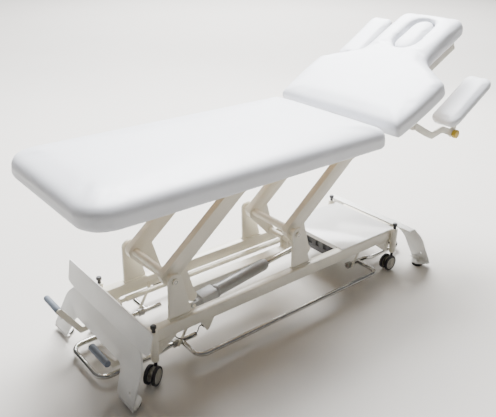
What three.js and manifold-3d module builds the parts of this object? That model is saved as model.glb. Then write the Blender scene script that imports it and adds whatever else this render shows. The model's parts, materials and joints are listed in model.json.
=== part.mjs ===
// A height-adjustable massage table: a steel base on rubber feet with pedal-lowered castors,
// a parallelogram lift driven by one actuator, a long body cushion and a tilting head section
// with a face slot and two swinging armrests.
// Millimetres, +X to the head, +Y to the far side, +Z up from the floor.
import * as THREE from "three";
import { mergeVertices } from "three/addons/utils/BufferGeometryUtils.js";
import Module from "manifold-3d";

const wasm = await Module();
wasm.setup();

// Clearances shared by every fit, and how far a cutting tool passes the face it cuts
const fit = { seat: 0.3, turning: 0.4, overrun: 5, weld: 1, merge: 0.002 };
const degrees = Math.PI / 180;
const bendStep = 30 * degrees;

// Numbers of sides for round work; seated is for a bar that a flat face seats on
const sides = { small: 8, medium: 10, seated: 12, large: 14, arc: 1, bend: 3, side: 3, cushion: 4 };

// Base
const rail = { halfLength: 660, outerY: 187, width: 40, depth: 50, top: 194, edge: 5 };
rail.innerY = rail.outerY - rail.width;
rail.middleY = rail.outerY - rail.width / 2;
rail.bottom = rail.top - rail.depth;

const post = {
  inset: 18, radius: 15, bore: 7.4, rise: 12, drop: 58, slotWidth: 11, slotRise: 6, slotDrop: 22,
};
post.x = rail.halfLength - post.inset;
post.y = rail.outerY + post.radius - fit.weld;
post.top = rail.top + post.rise;
post.bottom = rail.bottom - post.drop;

const castorShaft = { radius: 8, drop: 20 };
const lever = { arm: 38, thickness: 7, root: 13, tip: 11, slotLength: 9, play: 0.8, inset: 3 };
castorShaft.x = post.x - lever.arm;
castorShaft.z = rail.bottom - castorShaft.drop;

const gusset = { thickness: 5, depth: 52, toe: 15, ramp: 40, tail: 87 };

const crossMember = { inner: 640, height: 40 };

const sheet = { thickness: 5, bend: 8, footX: 799, shoulderX: 723, plateInnerX: 742 };
const footPlate = { radius: 26, y: 262, x: 768, rootShare: 1.4 };
const rubberFoot = { radius: 25, topRadius: 22, height: 15.7, bore: 5 };
sheet.low = rubberFoot.height + fit.seat;
const bolt = { head: 9.5, headHeight: 6.5 };

const panelLeg = {
  footOuterY: 312, footInnerY: 211, waistOuterY: 289, waistZ: 158, waistRadius: 60, topOuterY: 262,
  innerTopY: 176,
};
const footPanel = {
  archZ: 115, archRadius: 28, shoulderY: 253, flapX: 705, flapTop: 287, flapY: 308, flareZ: 203,
};
const headPanel = { archZ: 178, archRadius: 80, flangeInner: 682, cornerRadius: 22 };
const panelHole = { radius: 5, y: 268, z: 62 };

// Castors
const castor = {
  stem: 7, cap: 11, capHeight: 11.5, neck: 15.5, wheel: 36, wheelWidth: 13, floorGap: 3, trail: 24,
  axle: 4, hoodWidth: 14, hoodRadius: 25, hub: 13, tyreRound: 4, dish: 3, pin: 4, wheelGap: 1.5,
};
castor.axleZ = castor.wheel + castor.floorGap;
castor.hoodTop = castor.axleZ + castor.hoodRadius - fit.weld;
const castorSpots = [
  { name: "near_foot", end: -1, side: -1, heading: 213 },
  { name: "far_foot", end: -1, side: 1, heading: 190 },
  { name: "near_head", end: 1, side: -1, heading: 180 },
  { name: "far_head", end: 1, side: 1, heading: 165 },
];

// Castor pedal, its two shafts and the link between them
const pedal = {
  y: 127, width: 22, thickness: 6, elbowX: 700, elbowZ: 86, kneeX: 765, kneeZ: 82, tipX: 838, tipZ: 193,
  collar: 14, stub: 7,
};
const grip = { radius: 13, tipRadius: 11.5, length: 117, wall: 5, rise: 2 };
const castorLink = {
  radius: 11, y: 126, z: 142, throwRadius: 20, pin: 4, tab: 4, tabWidth: 16, endGap: 32, play: 2,
  pinReach: 10,
};

// Chrome foot-switch ring
const footBar = {
  radius: 10, stubX: 420, kinkX: 545, loopX: 600, endX: 816, stubY: 128, loopY: 116, highZ: 55, lowZ: 32,
  loopBend: 45, kinkBend: 30, sideX: 488, sideY: 248, sideBend: 40,
};
const barClamp = { length: 24, wall: 5, footX: -512, headX: 430 };
const hanger = { width: 14, thickness: 4, lean: 55, rise: 26, boltRadius: 5, boltHead: 3 };
const switchBracket = {
  x: -402, width: 62, depth: 48, thickness: 3, boxLength: 36, boxWidth: 16, boxHeight: 30,
};
const lead = { radius: 2.2 };

// Lift
const lift = {
  pivotZ: 346, footX: -527, headX: 56, armLength: 410, angle: 39.5, crank: 159, crankTurn: -90,
};
const arm = {
  depth: 60, width: 30, innerY: 102, tube: 16, tubeTop: 14, crankEnd: 20, crankThickness: 10, web: 72,
  crankTube: 13, edge: 4,
};
arm.outerY = arm.innerY + arm.width;
const lug = {
  outerY: 166, thickness: 8, round: 26, footToe: 30, footHeel: 65, headToe: 22, headHeel: 75, foot: 6,
};
lug.innerY = lug.outerY - lug.thickness;
const tie = { width: 50, height: 28, drop: 34, ear: 20, earThickness: 6 };

// Actuator
const actuator = {
  y: -70, baseX: -395, baseZ: 150, pin: 7, fork: 13, forkLength: 40, forkWidth: 34, forkWall: 7,
  motorLength: 65, motorWidth: 60, motorHeight: 66, tube: 25, tubeLength: 268, rod: 10,
  eye: 24, eyeBore: 18, eyeWidth: 14, neck: 24, step: 6,
};
const actuatorBracket = { height: 30, length: 46, wall: 6, innerY: -40 };

// Upper frame, in the table's long direction from the foot
const upper = {
  tubeY: 170, tubeWidth: 30, top: 685, depth: 40, footX: -650, headX: 383, wall: 3,
  hangerY: 140, hangerThickness: 8, hangerRound: 18, hangerHalf: 30, crossHalf: 20, middleX: 90,
  footCrossX: -600,
};
const board = { thickness: 15, inset: 30, headInset: 40 };

// Body cushion
const body = {
  footX: -893, headX: 374, halfWidth: 325, footCorner: 100, cornerRoom: 4, thickness: 90, crown: 7,
  edge: 46, lowerEdge: 12, drawnIn: 8,
};

// Where the rings of a crowned top lie, from its edge to its spine
const crownShares = [0.25, 0.5, 0.72];

// Head section, tilted about its hinge
const head = {
  seamX: 384, seamZ: 781, tilt: 28, hingeX: 404, hingeZ: 694, thickness: 72, crown: 5, length: 715,
  wide: 350, narrow: 169, tipRadius: 55, shoulderRadius: 44, shoulderU: 300, neckU: 408, footHalf: 335,
  waistU: 150,
  waistBlend: 60, tipSpineShare: 0.8,
  slotTip: 45, slotLength: 228, slotWidth: 128, edge: 26, lowerEdge: 10, drawnIn: 5,
};
head.slotU = head.length - head.slotTip - head.slotLength / 2;
// How far each corner of the head section's outline follows an inset
const headInsetShares = { shoulder: 0.7, neck: 0.5, tip: 0.9, radius: 0.5 };
const plug = { play: 5, sink: 12, edge: 12, ledge: 8 };
const headFrame = {
  tubeY: 140, tubeWidth: 25, depth: 30, reach: 640, crossU: 150, farCrossU: 430, ear: 20, pin: 8,
  wall: 7,
};
const spring = {
  y: 60, radius: 11, rod: 5, eye: 10, rodEye: 13, rodEyeBore: 9.5, pin: 3.5, headU: 260, lugDrop: 26,
  baseX: 405, baseZ: 620,
  cylinderShare: 0.52, back: 80,
};

// Armrests
const armrest = {
  pivotX: 530, pivotZ: 745, y: 322, thickness: 8, width: 28, length: 285,
  kinkShares: [[0.3, 18], [0.46, 26], [0.68, -8]],
  padInner: 215, padOuter: 348, padLength: 300, padThickness: 42, padTop: 73, padBack: 7, crown: 4,
  edge: 14, lowerEdge: 8, drawnIn: 3, plate: 6, knob: 19, knobWidth: 18, knobGrooves: 8, grooveDepth: 2.4,
  ear: 18, earGap: 2, pin: 6, cornerShare: 0.57, plateInsetShare: 0.27, pinReachShare: 0.6,
};
armrest.padHalf = (armrest.padOuter - armrest.padInner) / 2;
armrest.padMiddle = (armrest.padOuter + armrest.padInner) / 2;
armrest.corner = armrest.padHalf * armrest.cornerShare;
armrest.plateInset = armrest.padHalf * armrest.plateInsetShare;
armrest.knobFace = armrest.y + armrest.thickness / 2 + fit.seat;
armrest.pinEnd = armrest.knobFace + armrest.knobWidth * armrest.pinReachShare;
const armrestPoses = [
  { name: "near", side: -1, swing: -16.5, tilt: 32 },
  { name: "far", side: 1, swing: 22, tilt: 32 },
];

// Cover plate and control box between the rails
const cover = { fromX: 315, toX: 676, halfWidth: 184, thickness: 2.5, lip: 15, lipX: 660 };
const control = {
  fromX: 322, toX: 452, fromY: -135, toY: 55, bottom: 118, edge: 8, socket: 12, socketDepth: 6,
};
// How much of its bay each socket of the control box fills
const socketShares = [0.62, 0.45, 0.45, 0.62];

// Finishes: colour, roughness, metalness
const finishes = {
  paint: [0xe8e2d4, 0.38, 0.1],
  panel: [0xdcd6c8, 0.42, 0.1],
  vinyl: [0xf3f4f4, 0.45, 0],
  chrome: [0xd6d8da, 0.12, 1],
  steel: [0xb9bbbd, 0.35, 0.9],
  rubber: [0x26272a, 0.85, 0],
  gripRubber: [0x56616d, 0.75, 0],
  disc: [0xb8b4a8, 0.55, 0],
  darkPlastic: [0x35373b, 0.55, 0],
  greyPlastic: [0xb4b6b8, 0.5, 0],
  tubeGrey: [0x85888c, 0.4, 0.5],
  ochre: [0xc9a23c, 0.5, 0],
  gloss: [0xf4f3ee, 0.2, 0],
  wood: [0xcbb48c, 0.7, 0],
};

// Solids and booleans

function bare(geometry) {
  const copy = geometry.clone();
  copy.deleteAttribute("normal");
  copy.deleteAttribute("uv");
  return mergeVertices(copy, 1e-4);
}

function solidOf(geometry) {
  const merged = bare(geometry);
  return new wasm.Manifold(
    new wasm.Mesh({
      numProp: 3,
      vertProperties: new Float32Array(merged.attributes.position.array),
      triVerts: new Uint32Array(merged.index.array),
    }),
  );
}

// A solid's faces, with the ones that lie in one plane joined
function geometryOf(solid) {
  const mesh = solid.asOriginal().simplify(fit.merge).getMesh();
  const geometry = new THREE.BufferGeometry();
  geometry.setAttribute("position", new THREE.BufferAttribute(new Float32Array(mesh.vertProperties), 3));
  geometry.setIndex(new THREE.BufferAttribute(new Uint32Array(mesh.triVerts), 1));
  const faces = geometry.toNonIndexed();
  faces.computeVertexNormals();
  return faces;
}

function weld(...geometries) {
  return geometryOf(geometries.flat().map(solidOf).reduce((whole, piece) => whole.add(piece)));
}

function cut(geometry, ...tools) {
  return geometryOf(tools.flat().map(solidOf).reduce((whole, tool) => whole.subtract(tool),
    solidOf(geometry)));
}

function common(first, ...others) {
  return geometryOf(others.map(solidOf).reduce((whole, other) => whole.intersect(other), solidOf(first)));
}

// The mirror image, with each face turned back to face outwards
function mirrored(geometry, signX, signY) {
  const copy = bare(geometry).scale(signX, signY, 1);
  if (signX * signY < 0) {
    const order = copy.index.array;
    for (let i = 0; i < order.length; i += 3) [order[i + 1], order[i + 2]] = [order[i + 2], order[i + 1]];
  }
  const faces = copy.toNonIndexed();
  faces.computeVertexNormals();
  return faces;
}

const bothSides = (geometry) => [geometry, mirrored(geometry, 1, -1)];
const bothEnds = (geometry) => [geometry, mirrored(geometry, -1, 1)];
const fourCorners = (geometry) => bothEnds(geometry).flatMap(bothSides);

function box(fromX, toX, fromY, toY, fromZ, toZ) {
  return new THREE.BoxGeometry(toX - fromX, toY - fromY, toZ - fromZ).translate(
    (fromX + toX) / 2,
    (fromY + toY) / 2,
    (fromZ + toZ) / 2,
  );
}

// Extruded outlines: "xz" has its outline in X and Z and its depth along Y, and so on
const turnYZ = new THREE.Matrix4().makeBasis(
  new THREE.Vector3(0, 1, 0),
  new THREE.Vector3(0, 0, 1),
  new THREE.Vector3(1, 0, 0),
);

function plate(plane, shape, from, to, curveSegments = sides.arc) {
  const depth = to - from;
  const geometry = new THREE.ExtrudeGeometry(shape, { depth, bevelEnabled: false, curveSegments });
  if (plane === "xz") return geometry.rotateX(Math.PI / 2).translate(0, to, 0);
  if (plane === "yz") return geometry.applyMatrix4(turnYZ).translate(from, 0, 0);
  return geometry.translate(0, 0, from);
}

// Outline through corners [u, v, radius], each rounded by its radius
function outline(corners, Type = THREE.Shape) {
  const shape = new Type();
  corners.forEach(([u, v, radius = 0], index) => {
    const here = new THREE.Vector2(u, v);
    const before = corners[(index + corners.length - 1) % corners.length];
    const after = corners[(index + 1) % corners.length];
    const back = new THREE.Vector2(before[0], before[1]).sub(here).normalize();
    const on = new THREE.Vector2(after[0], after[1]).sub(here).normalize();
    const draw = (point) => 
      (index === 0 && point.first ? shape.moveTo(point.x, point.y) : shape.lineTo(point.x, point.y));
    if (radius === 0) {
      here.first = true;
      draw(here);
      return;
    }
    const halfAngle = Math.acos(THREE.MathUtils.clamp(back.dot(on), -1, 1)) / 2;
    const reach = radius / Math.tan(halfAngle);
    const start = here.clone().addScaledVector(back, reach);
    const centre = here.clone().addScaledVector(back.clone().add(on).normalize(),
      radius / Math.sin(halfAngle));
    const end = here.clone().addScaledVector(on, reach);
    start.first = true;
    draw(start);
    const fromAngle = Math.atan2(start.y - centre.y, start.x - centre.x);
    const toAngle = Math.atan2(end.y - centre.y, end.x - centre.x);
    shape.absarc(centre.x, centre.y, radius, fromAngle, toAngle, back.cross(on) > 0);
  });
  shape.closePath();
  return shape;
}

// A round hole, its flats outside the radius so that a pin of that radius passes
function hole(u, v, radius, count = sides.medium) {
  const corner = radius / Math.cos(Math.PI / count);
  const points = Array.from({ length: count }, (_, i) => {
    const angle = (2 * Math.PI * i) / count;
    return new THREE.Vector2(u + corner * Math.cos(angle), v + corner * Math.sin(angle));
  });
  return new THREE.Path(points);
}

function roundedBox(fromU, toU, fromV, toV, radius) {
  return outline([
    [fromU, fromV, radius],
    [toU, fromV, radius],
    [toU, toV, radius],
    [fromU, toV, radius],
  ]);
}

function withHoles(shape, ...holes) {
  shape.holes.push(...holes);
  return shape;
}

// A round bar along one axis, at the two other coordinates
function rod(axis, radius, from, to, a, b, count = sides.small) {
  const bar = new THREE.CylinderGeometry(radius, radius, to - from, count);
  const middle = (from + to) / 2;
  if (axis === "x") return bar.rotateZ(-Math.PI / 2).translate(middle, a, b);
  if (axis === "y") return bar.translate(a, middle, b);
  return bar.rotateX(Math.PI / 2).translate(a, b, middle);
}

// The tool for a round bore, its flats outside the radius so that a pin of that radius turns in it
function boreTool(axis, radius, from, to, a, b, count = sides.large) {
  return rod(axis, radius / Math.cos(Math.PI / count), from - fit.overrun, to + fit.overrun, a, b, count);
}

// A turned piece about one axis, from its profile [radius, distance along the axis]
function turned(axis, profile, a, b, count = sides.medium) {
  const points = profile.map(([radius, along]) => new THREE.Vector2(radius, along));
  const form = new THREE.LatheGeometry(points, count);
  if (axis === "x") return form.rotateZ(-Math.PI / 2).translate(0, a, b);
  if (axis === "y") return form.translate(a, 0, b);
  return form.rotateX(Math.PI / 2).translate(a, b, 0);
}

// A sleeve about one axis, with the flats of its bore outside the inner radius
function sleeve(axis, outer, inner, from, to, a, b, count = sides.medium) {
  const bore = inner / Math.cos(Math.PI / count);
  const profile = [[bore, from], [outer, from], [outer, to], [bore, to], [bore, from]];
  return turned(axis, profile, a, b, count);
}

// A route through knots, for a section swept along it
class Route extends THREE.Curve {
  constructor(knots) {
    super();
    this.knots = knots;
  }

  getPoint(t, target = new THREE.Vector3()) {
    const last = this.knots.length - 1;
    const at = t * last;
    const index = Math.min(Math.floor(at), last - 1);
    return target.lerpVectors(this.knots[index], this.knots[index + 1], at - index);
  }

  getUtoTmapping(u) {
    return u;
  }

  getTangent(t, target = new THREE.Vector3()) {
    const last = this.knots.length - 1;
    const index = Math.round(t * last);
    const step = (from) => this.knots[from + 1].clone().sub(this.knots[from]).normalize();
    return target.copy(step(Math.max(index - 1, 0))).add(step(Math.min(index, last - 1))).normalize();
  }
}

// Corners [x, y, z, bend radius] turned into knots with round bends
function bentKnots(corners) {
  const points = corners.map(([x, y, z]) => new THREE.Vector3(x, y, z));
  const knots = [];
  points.forEach((here, index) => {
    const radius = corners[index][3];
    if (!radius) {
      knots.push(here);
      return;
    }
    const back = points[index - 1].clone().sub(here).normalize();
    const on = points[index + 1].clone().sub(here).normalize();
    const halfAngle = back.angleTo(on) / 2;
    const reach = radius / Math.tan(halfAngle);
    const toCentre = back.clone().add(on).normalize();
    const centre = here.clone().addScaledVector(toCentre, radius / Math.sin(halfAngle));
    const start = here.clone().addScaledVector(back, reach).sub(centre);
    const axis = start.clone().cross(here.clone().addScaledVector(on, reach).sub(centre)).normalize();
    const sweep = Math.PI - 2 * halfAngle;
    const count = Math.ceil(sweep / bendStep);
    for (let i = 0; i <= count; i += 1)
      knots.push(start.clone().applyAxisAngle(axis, (sweep * i) / count).add(centre));
  });
  return knots;
}

function bentBar(corners, radius, count = sides.small) {
  const knots = bentKnots(corners);
  const section = new THREE.Shape(
    Array.from({ length: count }, (_, i) => {
      const angle = (2 * Math.PI * i) / count;
      return new THREE.Vector2(radius * Math.cos(angle), radius * Math.sin(angle));
    }),
  );
  return new THREE.ExtrudeGeometry(section, { steps: knots.length - 1, extrudePath: new Route(knots) });
}

// A padded form: an outline carried up through layers [inset, height], then crowned to its spine
function paddedForm(shape, layers, crown, spine, divisions = sides.arc) {
  const rim = shape.extractPoints(divisions).shape;
  const points = [];
  rim.forEach((point) => {
    const last = points[points.length - 1];
    if (!last || last.distanceTo(point) > fit.seat) points.push(point);
  });
  if (points[0].distanceTo(points[points.length - 1]) < fit.seat) points.pop();
  const count = points.length;
  const inwards = points.map((point, index) => {
    const before = point.clone().sub(points[(index + count - 1) % count]).normalize();
    const after = points[(index + 1) % count].clone().sub(point).normalize();
    const along = before.clone().add(after).normalize();
    return new THREE.Vector2(-along.y, along.x).divideScalar(Math.max(along.dot(before), fit.turning));
  });
  const rings = layers.map(([inset, height]) =>
    points.map((point, index) => {
      const moved = point.clone().addScaledVector(inwards[index], inset);
      return [moved.x, moved.y, height];
    }),
  );
  const top = rings[rings.length - 1];
  crownShares.forEach((share) => {
    rings.push(
      top.map(([x, y, z]) => {
        const spineX = THREE.MathUtils.clamp(x, spine[0], spine[1]);
        return [x + (spineX - x) * share, y * (1 - share), z + crown * (1 - (1 - share) ** 2)];
      }),
    );
  });
  const positions = rings.flat(2);
  const index = [];
  for (let ring = 0; ring < rings.length - 1; ring += 1)
    for (let i = 0; i < count; i += 1) {
      const next = (i + 1) % count;
      const [a, b] = [ring * count + i, ring * count + next];
      index.push(a, b, b + count, a, b + count, a + count);
    }
  const flat = (ring) => rings[ring].map(([x, y]) => new THREE.Vector2(x, y));
  for (const [a, b, c] of THREE.ShapeUtils.triangulateShape(flat(0), [])) index.push(c, b, a);
  const first = (rings.length - 1) * count;
  for (const [a, b, c] of THREE.ShapeUtils.triangulateShape(flat(rings.length - 1), []))
    index.push(first + a, first + b, first + c);
  const geometry = new THREE.BufferGeometry();
  geometry.setAttribute("position", new THREE.Float32BufferAttribute(positions, 3));
  geometry.setIndex(index);
  geometry.computeVertexNormals();
  return geometry;
}

// Layers of a cushion's side: turned under, drawn in at mid-height, rounded over the top edge
function cushionLayers({ thickness, edge, lowerEdge, drawnIn }, bottom) {
  const layers = [];
  for (let i = 0; i <= sides.side - 1; i += 1) {
    const angle = (i / (sides.side - 1)) * (Math.PI / 2);
    layers.push([drawnIn + lowerEdge * (1 - Math.sin(angle)), bottom + lowerEdge * (1 - Math.cos(angle))]);
  }
  for (let i = 0; i <= sides.side; i += 1) {
    const angle = (i / sides.side) * (Math.PI / 2);
    layers.push([edge * (1 - Math.cos(angle)), bottom + thickness - edge * (1 - Math.sin(angle))]);
  }
  return layers;
}

// Base

function baseRail() {
  const { halfLength, outerY, innerY, top, bottom, edge } = rail;
  const bar = plate("yz", roundedBox(innerY, outerY, bottom, top, edge), -halfLength, halfLength);
  const pieces = [bar];
  const gussetShape = withHoles(
    outline([
      [post.x - post.radius, bottom + fit.weld],
      [gussetTail(), bottom + fit.weld],
      [gussetTail(), bottom - fit.weld],
      [gussetTail() + gusset.tail - gusset.toe - gusset.ramp + gusset.toe,
        bottom - gusset.depth + gusset.toe],
      [post.x - post.radius - gusset.toe, bottom - gusset.depth],
      [post.x - post.radius, bottom - gusset.depth],
    ]),
    hole(castorShaft.x, castorShaft.z, castorShaft.radius + fit.turning),
  );
  const wing = plate("xz", gussetShape, outerY - gusset.thickness, outerY);
  const column = rod("z", post.radius, post.bottom, post.top, post.x, post.y, sides.medium);
  pieces.push(...bothEnds(wing), ...bothEnds(column));
  const bore = boreTool("z", post.bore, post.bottom, post.top, post.x, post.y, sides.medium);
  const halfSlot = post.slotWidth / 2;
  const slot = box(
    post.x - halfSlot, post.x + halfSlot, post.y - post.radius - fit.overrun, post.y,
    castorShaft.z - post.slotDrop, castorShaft.z + post.slotRise,
  );
  const body = cut(weld(pieces), bothEnds(bore), bothEnds(slot));
  return weld(body, armLugs(), pivotPins(), barHangers(), switchBracketPlate());
}

function gussetTail() {
  return post.x - post.radius - gusset.tail;
}

// Where the sloping panel's inner face lies at a height
function panelInnerX(z) {
  const slope = (sheet.footX - sheet.shoulderX) / (rail.top - sheet.low);
  const skin = (sheet.thickness / 2) * Math.hypot(1, slope);
  return sheet.shoulderX + (rail.top - z) * slope - skin;
}

function crossMemberEnd() {
  const bottom = rail.top - crossMember.height;
  const halfWidth = rail.innerY - fit.seat;
  const shape = outline([
    [crossMember.inner, bottom],
    [panelInnerX(bottom) - 2 * fit.seat, bottom],
    [panelInnerX(rail.top) - 2 * fit.seat - sheet.bend / 2, rail.top],
    [crossMember.inner, rail.top],
  ]);
  return plate("xz", shape, -halfWidth, halfWidth);
}

// The side view of a bent sheet, as a band of the sheet's thickness round its middle line
function sheetProfile(middle) {
  const offset = (side) =>
    middle.map(([x, z, radius = 0], index) => {
      const before = middle[Math.max(index - 1, 0)];
      const after = middle[Math.min(index + 1, middle.length - 1)];
      const turn = (from, to) => new THREE.Vector2(to[0] - from[0], to[1] - from[1]).normalize();
      const inTurn = index === 0 ? turn(middle[0], after) : turn(before, [x, z]);
      const outTurn = index === middle.length - 1 ? inTurn : turn([x, z], after);
      const along = inTurn.clone().add(outTurn).normalize();
      const skin = (side * sheet.thickness) / 2 / along.dot(inTurn);
      const inner = side * inTurn.cross(outTurn) > 0;
      const bend = radius ? radius + (inner ? -sheet.thickness / 2 : sheet.thickness / 2) : 0;
      return [x - along.y * skin, z + along.x * skin, bend];
    });
  return outline([...offset(-1), ...offset(1).reverse()]);
}

// The front view of one panel's legs, from the outer foot round to the inner foot
function legOutline(archZ, archRadius, upperPoints) {
  const low = -fit.overrun;
  const right = [
    [panelLeg.footInnerY, low],
    [panelLeg.footOuterY, low],
    [panelLeg.waistOuterY, panelLeg.waistZ, panelLeg.waistRadius],
    ...upperPoints,
  ];
  const left = right.map(([y, z, radius]) => [-y, z, radius]).reverse();
  const arch = [[-panelLeg.innerTopY, archZ, archRadius], [panelLeg.innerTopY, archZ, archRadius]];
  return outline([...right, ...left, ...arch]);
}

function footPlates() {
  const { x, y, radius, rootShare } = footPlate;
  return outline([
    [x, y - radius * rootShare, 0],
    [sheet.footX - fit.weld, panelLeg.footInnerY + fit.weld, 0],
    [sheet.footX - fit.weld, panelLeg.footOuterY - fit.weld, 0],
    [x, y + radius * rootShare, 0],
    [sheet.plateInnerX, y + radius / 2, radius / 2],
    [sheet.plateInnerX, y - radius / 2, radius / 2],
  ]);
}

function footEndPanel() {
  const middle = sheet.low + sheet.thickness / 2;
  const profile = sheetProfile([
    [sheet.footX - 2 * sheet.bend - fit.weld, middle],
    [sheet.footX, middle, sheet.bend],
    [sheet.shoulderX, rail.top, sheet.bend],
    [footPanel.flapX, footPanel.flapTop],
  ]);
  const reach = panelLeg.footOuterY + fit.overrun;
  const bent = plate("xz", profile, -reach, reach);
  const flare = [
    [panelLeg.topOuterY, rail.top - sheet.bend, 0],
    [footPanel.shoulderY, rail.top, 0],
    [footPanel.flapY - sheet.thickness, footPanel.flareZ, sheet.bend * 2],
    [footPanel.flapY, footPanel.flapTop - sheet.bend, sheet.bend],
    [footPanel.flapY - sheet.bend, footPanel.flapTop + fit.overrun, 0],
  ];
  const front = legOutline(footPanel.archZ, footPanel.archRadius, flare);
  return finishPanel(bent, front);
}

function headEndPanel() {
  const middle = sheet.low + sheet.thickness / 2;
  const profile = sheetProfile([
    [sheet.footX - 2 * sheet.bend - fit.weld, middle],
    [sheet.footX, middle, sheet.bend],
    [sheet.shoulderX, rail.top + fit.seat + sheet.thickness / 2, sheet.bend],
    [headPanel.flangeInner, rail.top + fit.seat + sheet.thickness / 2],
  ]);
  const reach = panelLeg.footOuterY + fit.overrun;
  const bent = plate("xz", profile, -reach, reach);
  const shoulder = [
    [panelLeg.topOuterY, rail.top - sheet.bend, headPanel.cornerRadius],
    [footPanel.shoulderY, rail.top + sheet.thickness + fit.overrun, 0],
  ];
  const front = legOutline(headPanel.archZ, headPanel.archRadius, shoulder);
  const whole = finishPanel(bent, front);
  const seat = rod("z", post.radius + fit.weld, rail.top, rail.top + 2 * sheet.thickness, post.x,
    post.y, sides.medium);
  return cut(whole, bothSides(seat));
}

function finishPanel(bent, front) {
  const far = sheet.footX + sheet.thickness;
  const face = common(bent, plate("yz", front, crossMember.inner, far, sides.bend));
  const plates = plate("xy", footPlates(), sheet.low, sheet.low + sheet.thickness);
  const screwHole = rod("x", panelHole.radius, rail.halfLength, far, panelHole.y, panelHole.z);
  return cut(weld(face, bothSides(weld(plates, footBolt()))), bothSides(screwHole));
}

function rubberFootPiece() {
  const { radius, topRadius, height, bore } = rubberFoot;
  const edge = radius - topRadius;
  const profile = [
    [bore, 0], [radius - edge, 0], [radius, edge], [radius, height / 2], [topRadius, height],
    [bore, height], [bore, 0],
  ];
  return turned("z", profile, footPlate.x, footPlate.y, sides.large);
}

function footBolt() {
  const top = sheet.low + sheet.thickness - fit.seat;
  const { head: headRadius, headHeight } = bolt;
  const hex = new THREE.CylinderGeometry(headRadius, headRadius, headHeight, 6).rotateX(Math.PI / 2);
  hex.translate(footPlate.x, footPlate.y, top + headHeight / 2);
  const shank = rod("z", rubberFoot.bore - fit.turning, rubberFoot.height / 2, top + fit.weld,
    footPlate.x, footPlate.y);
  return weld(hex, shank);
}

// Lugs that stand on the rails and carry the lift arms
function armLugs() {
  const { outerY, innerY, round, footToe, footHeel, headToe, headHeel } = lug;
  const low = rail.top - fit.weld;
  const upright = (x, toe, heel) =>
    (
      outline([
        [x - toe, low],
        [x + heel, low],
        [x + heel, low + lug.foot],
        [x + round, lift.pivotZ + round, round - fit.weld],
        [x - round, lift.pivotZ + round, round - fit.weld],
        [x - toe, low + lug.foot],
      ])
    );
  const foot = (x, toe, heel) =>
    box(x - toe, x + heel, innerY - lug.thickness, outerY + lug.thickness, low, low + lug.foot);
  const pair = [
    plate("xz", upright(lift.footX, footToe, footHeel), innerY, outerY, sides.bend),
    foot(lift.footX, footToe, footHeel),
    plate("xz", upright(lift.headX, headToe, headHeel), innerY, outerY, sides.bend),
    foot(lift.headX, headToe, headHeel),
  ];
  return weld(pair);
}

function pivotPins() {
  const radius = arm.crankTube / 2;
  const each = (x) => [
    rod("y", radius, lug.innerY - 2 * lug.thickness, lug.outerY, x, lift.pivotZ, sides.medium),
    rod("y", 2 * radius, lug.outerY - fit.weld, lug.outerY + lug.thickness, x, lift.pivotZ, 6),
  ];
  return weld(each(lift.footX), each(lift.headX));
}

function coverPlate() {
  const { fromX, toX, halfWidth, thickness, lip, lipX } = cover;
  const low = rail.top + fit.seat;
  const corner = 2 * thickness;
  const top = plate("xy", roundedBox(fromX, lipX, -halfWidth, halfWidth, corner), low, low + thickness);
  const lipWidth = rail.innerY - 2 * fit.weld;
  const front = box(fromX, fromX + thickness, -lipWidth, lipWidth, low - lip, low + fit.weld);
  return weld(top, front);
}

function controlBox() {
  const { fromX, toX, fromY, toY, bottom, edge, socket, socketDepth } = control;
  const top = rail.top - fit.seat;
  const start = fromX + cover.thickness + fit.seat;
  const shell = plate("xy", roundedBox(start, toX, fromY, toY, edge), bottom, top);
  const middle = (bottom + top) / 2;
  const bay = (toY - fromY) / socketShares.length;
  const cuts = socketShares.map((share, i) => {
    const socketY = fromY + bay * i + socket / 2;
    return box(start - fit.overrun, start + socketDepth, socketY, socketY + bay * share,
      middle - socket, middle + socket);
  });
  return cut(shell, cuts);
}

// Foot-switch ring

function footRing() {
  const { radius, stubX, kinkX, loopX, endX, stubY, loopY, highZ, lowZ } = footBar;
  const { loopBend, kinkBend, sideX, sideY, sideBend } = footBar;
  const loop = bentBar(
    [
      [stubX, -stubY, highZ],
      [kinkX, -stubY, highZ, kinkBend],
      [loopX, -loopY, lowZ, kinkBend],
      [endX, -loopY, lowZ, loopBend],
      [endX, loopY, lowZ, loopBend],
      [loopX, loopY, lowZ, kinkBend],
      [kinkX, stubY, highZ, kinkBend],
      [stubX, stubY, highZ],
    ],
    radius,
  );
  const side = bentBar(
    [
      [-sideX, stubY - radius / 2, highZ],
      [-sideX, sideY, highZ, sideBend],
      [sideX, sideY, highZ, sideBend],
      [sideX, stubY - radius / 2, highZ],
    ],
    radius,
  );
  return weld(bothEnds(loop), bothSides(side), bothSides(barClamps()));
}

function barClamps() {
  const { length, wall, footX, headX } = barClamp;
  const each = (x) =>
    rod("x", footBar.radius + wall, x - length / 2, x + length / 2, footBar.stubY, footBar.highZ,
      sides.seated);
  return weld(each(footX), each(headX));
}

// Leaning straps that hold the clamps from the rails
function barHangers() {
  const { width, thickness, lean, rise } = hanger;
  const outer = rail.innerY + fit.seat;
  const inner = outer - thickness;
  const strap = (x) => {
    const top = rail.bottom + rise;
    const bottom = footBar.highZ;
    const half = width / 2;
    const shape = outline([
      [x - half, bottom - half, half - fit.weld],
      [x + half, bottom - half, half - fit.weld],
      [x + lean + half, rail.bottom, width],
      [x + lean + half, top, half - fit.weld],
      [x + lean - half, top, half - fit.weld],
      [x + lean - half, rail.bottom, width],
    ]);
    const head = rod("y", hanger.boltRadius, inner - hanger.boltHead, inner + fit.weld, x + lean,
      top - width, 6);
    return weld(plate("xz", shape, inner, outer), head);
  };
  return weld(strap(barClamp.footX), strap(barClamp.headX));
}

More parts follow.
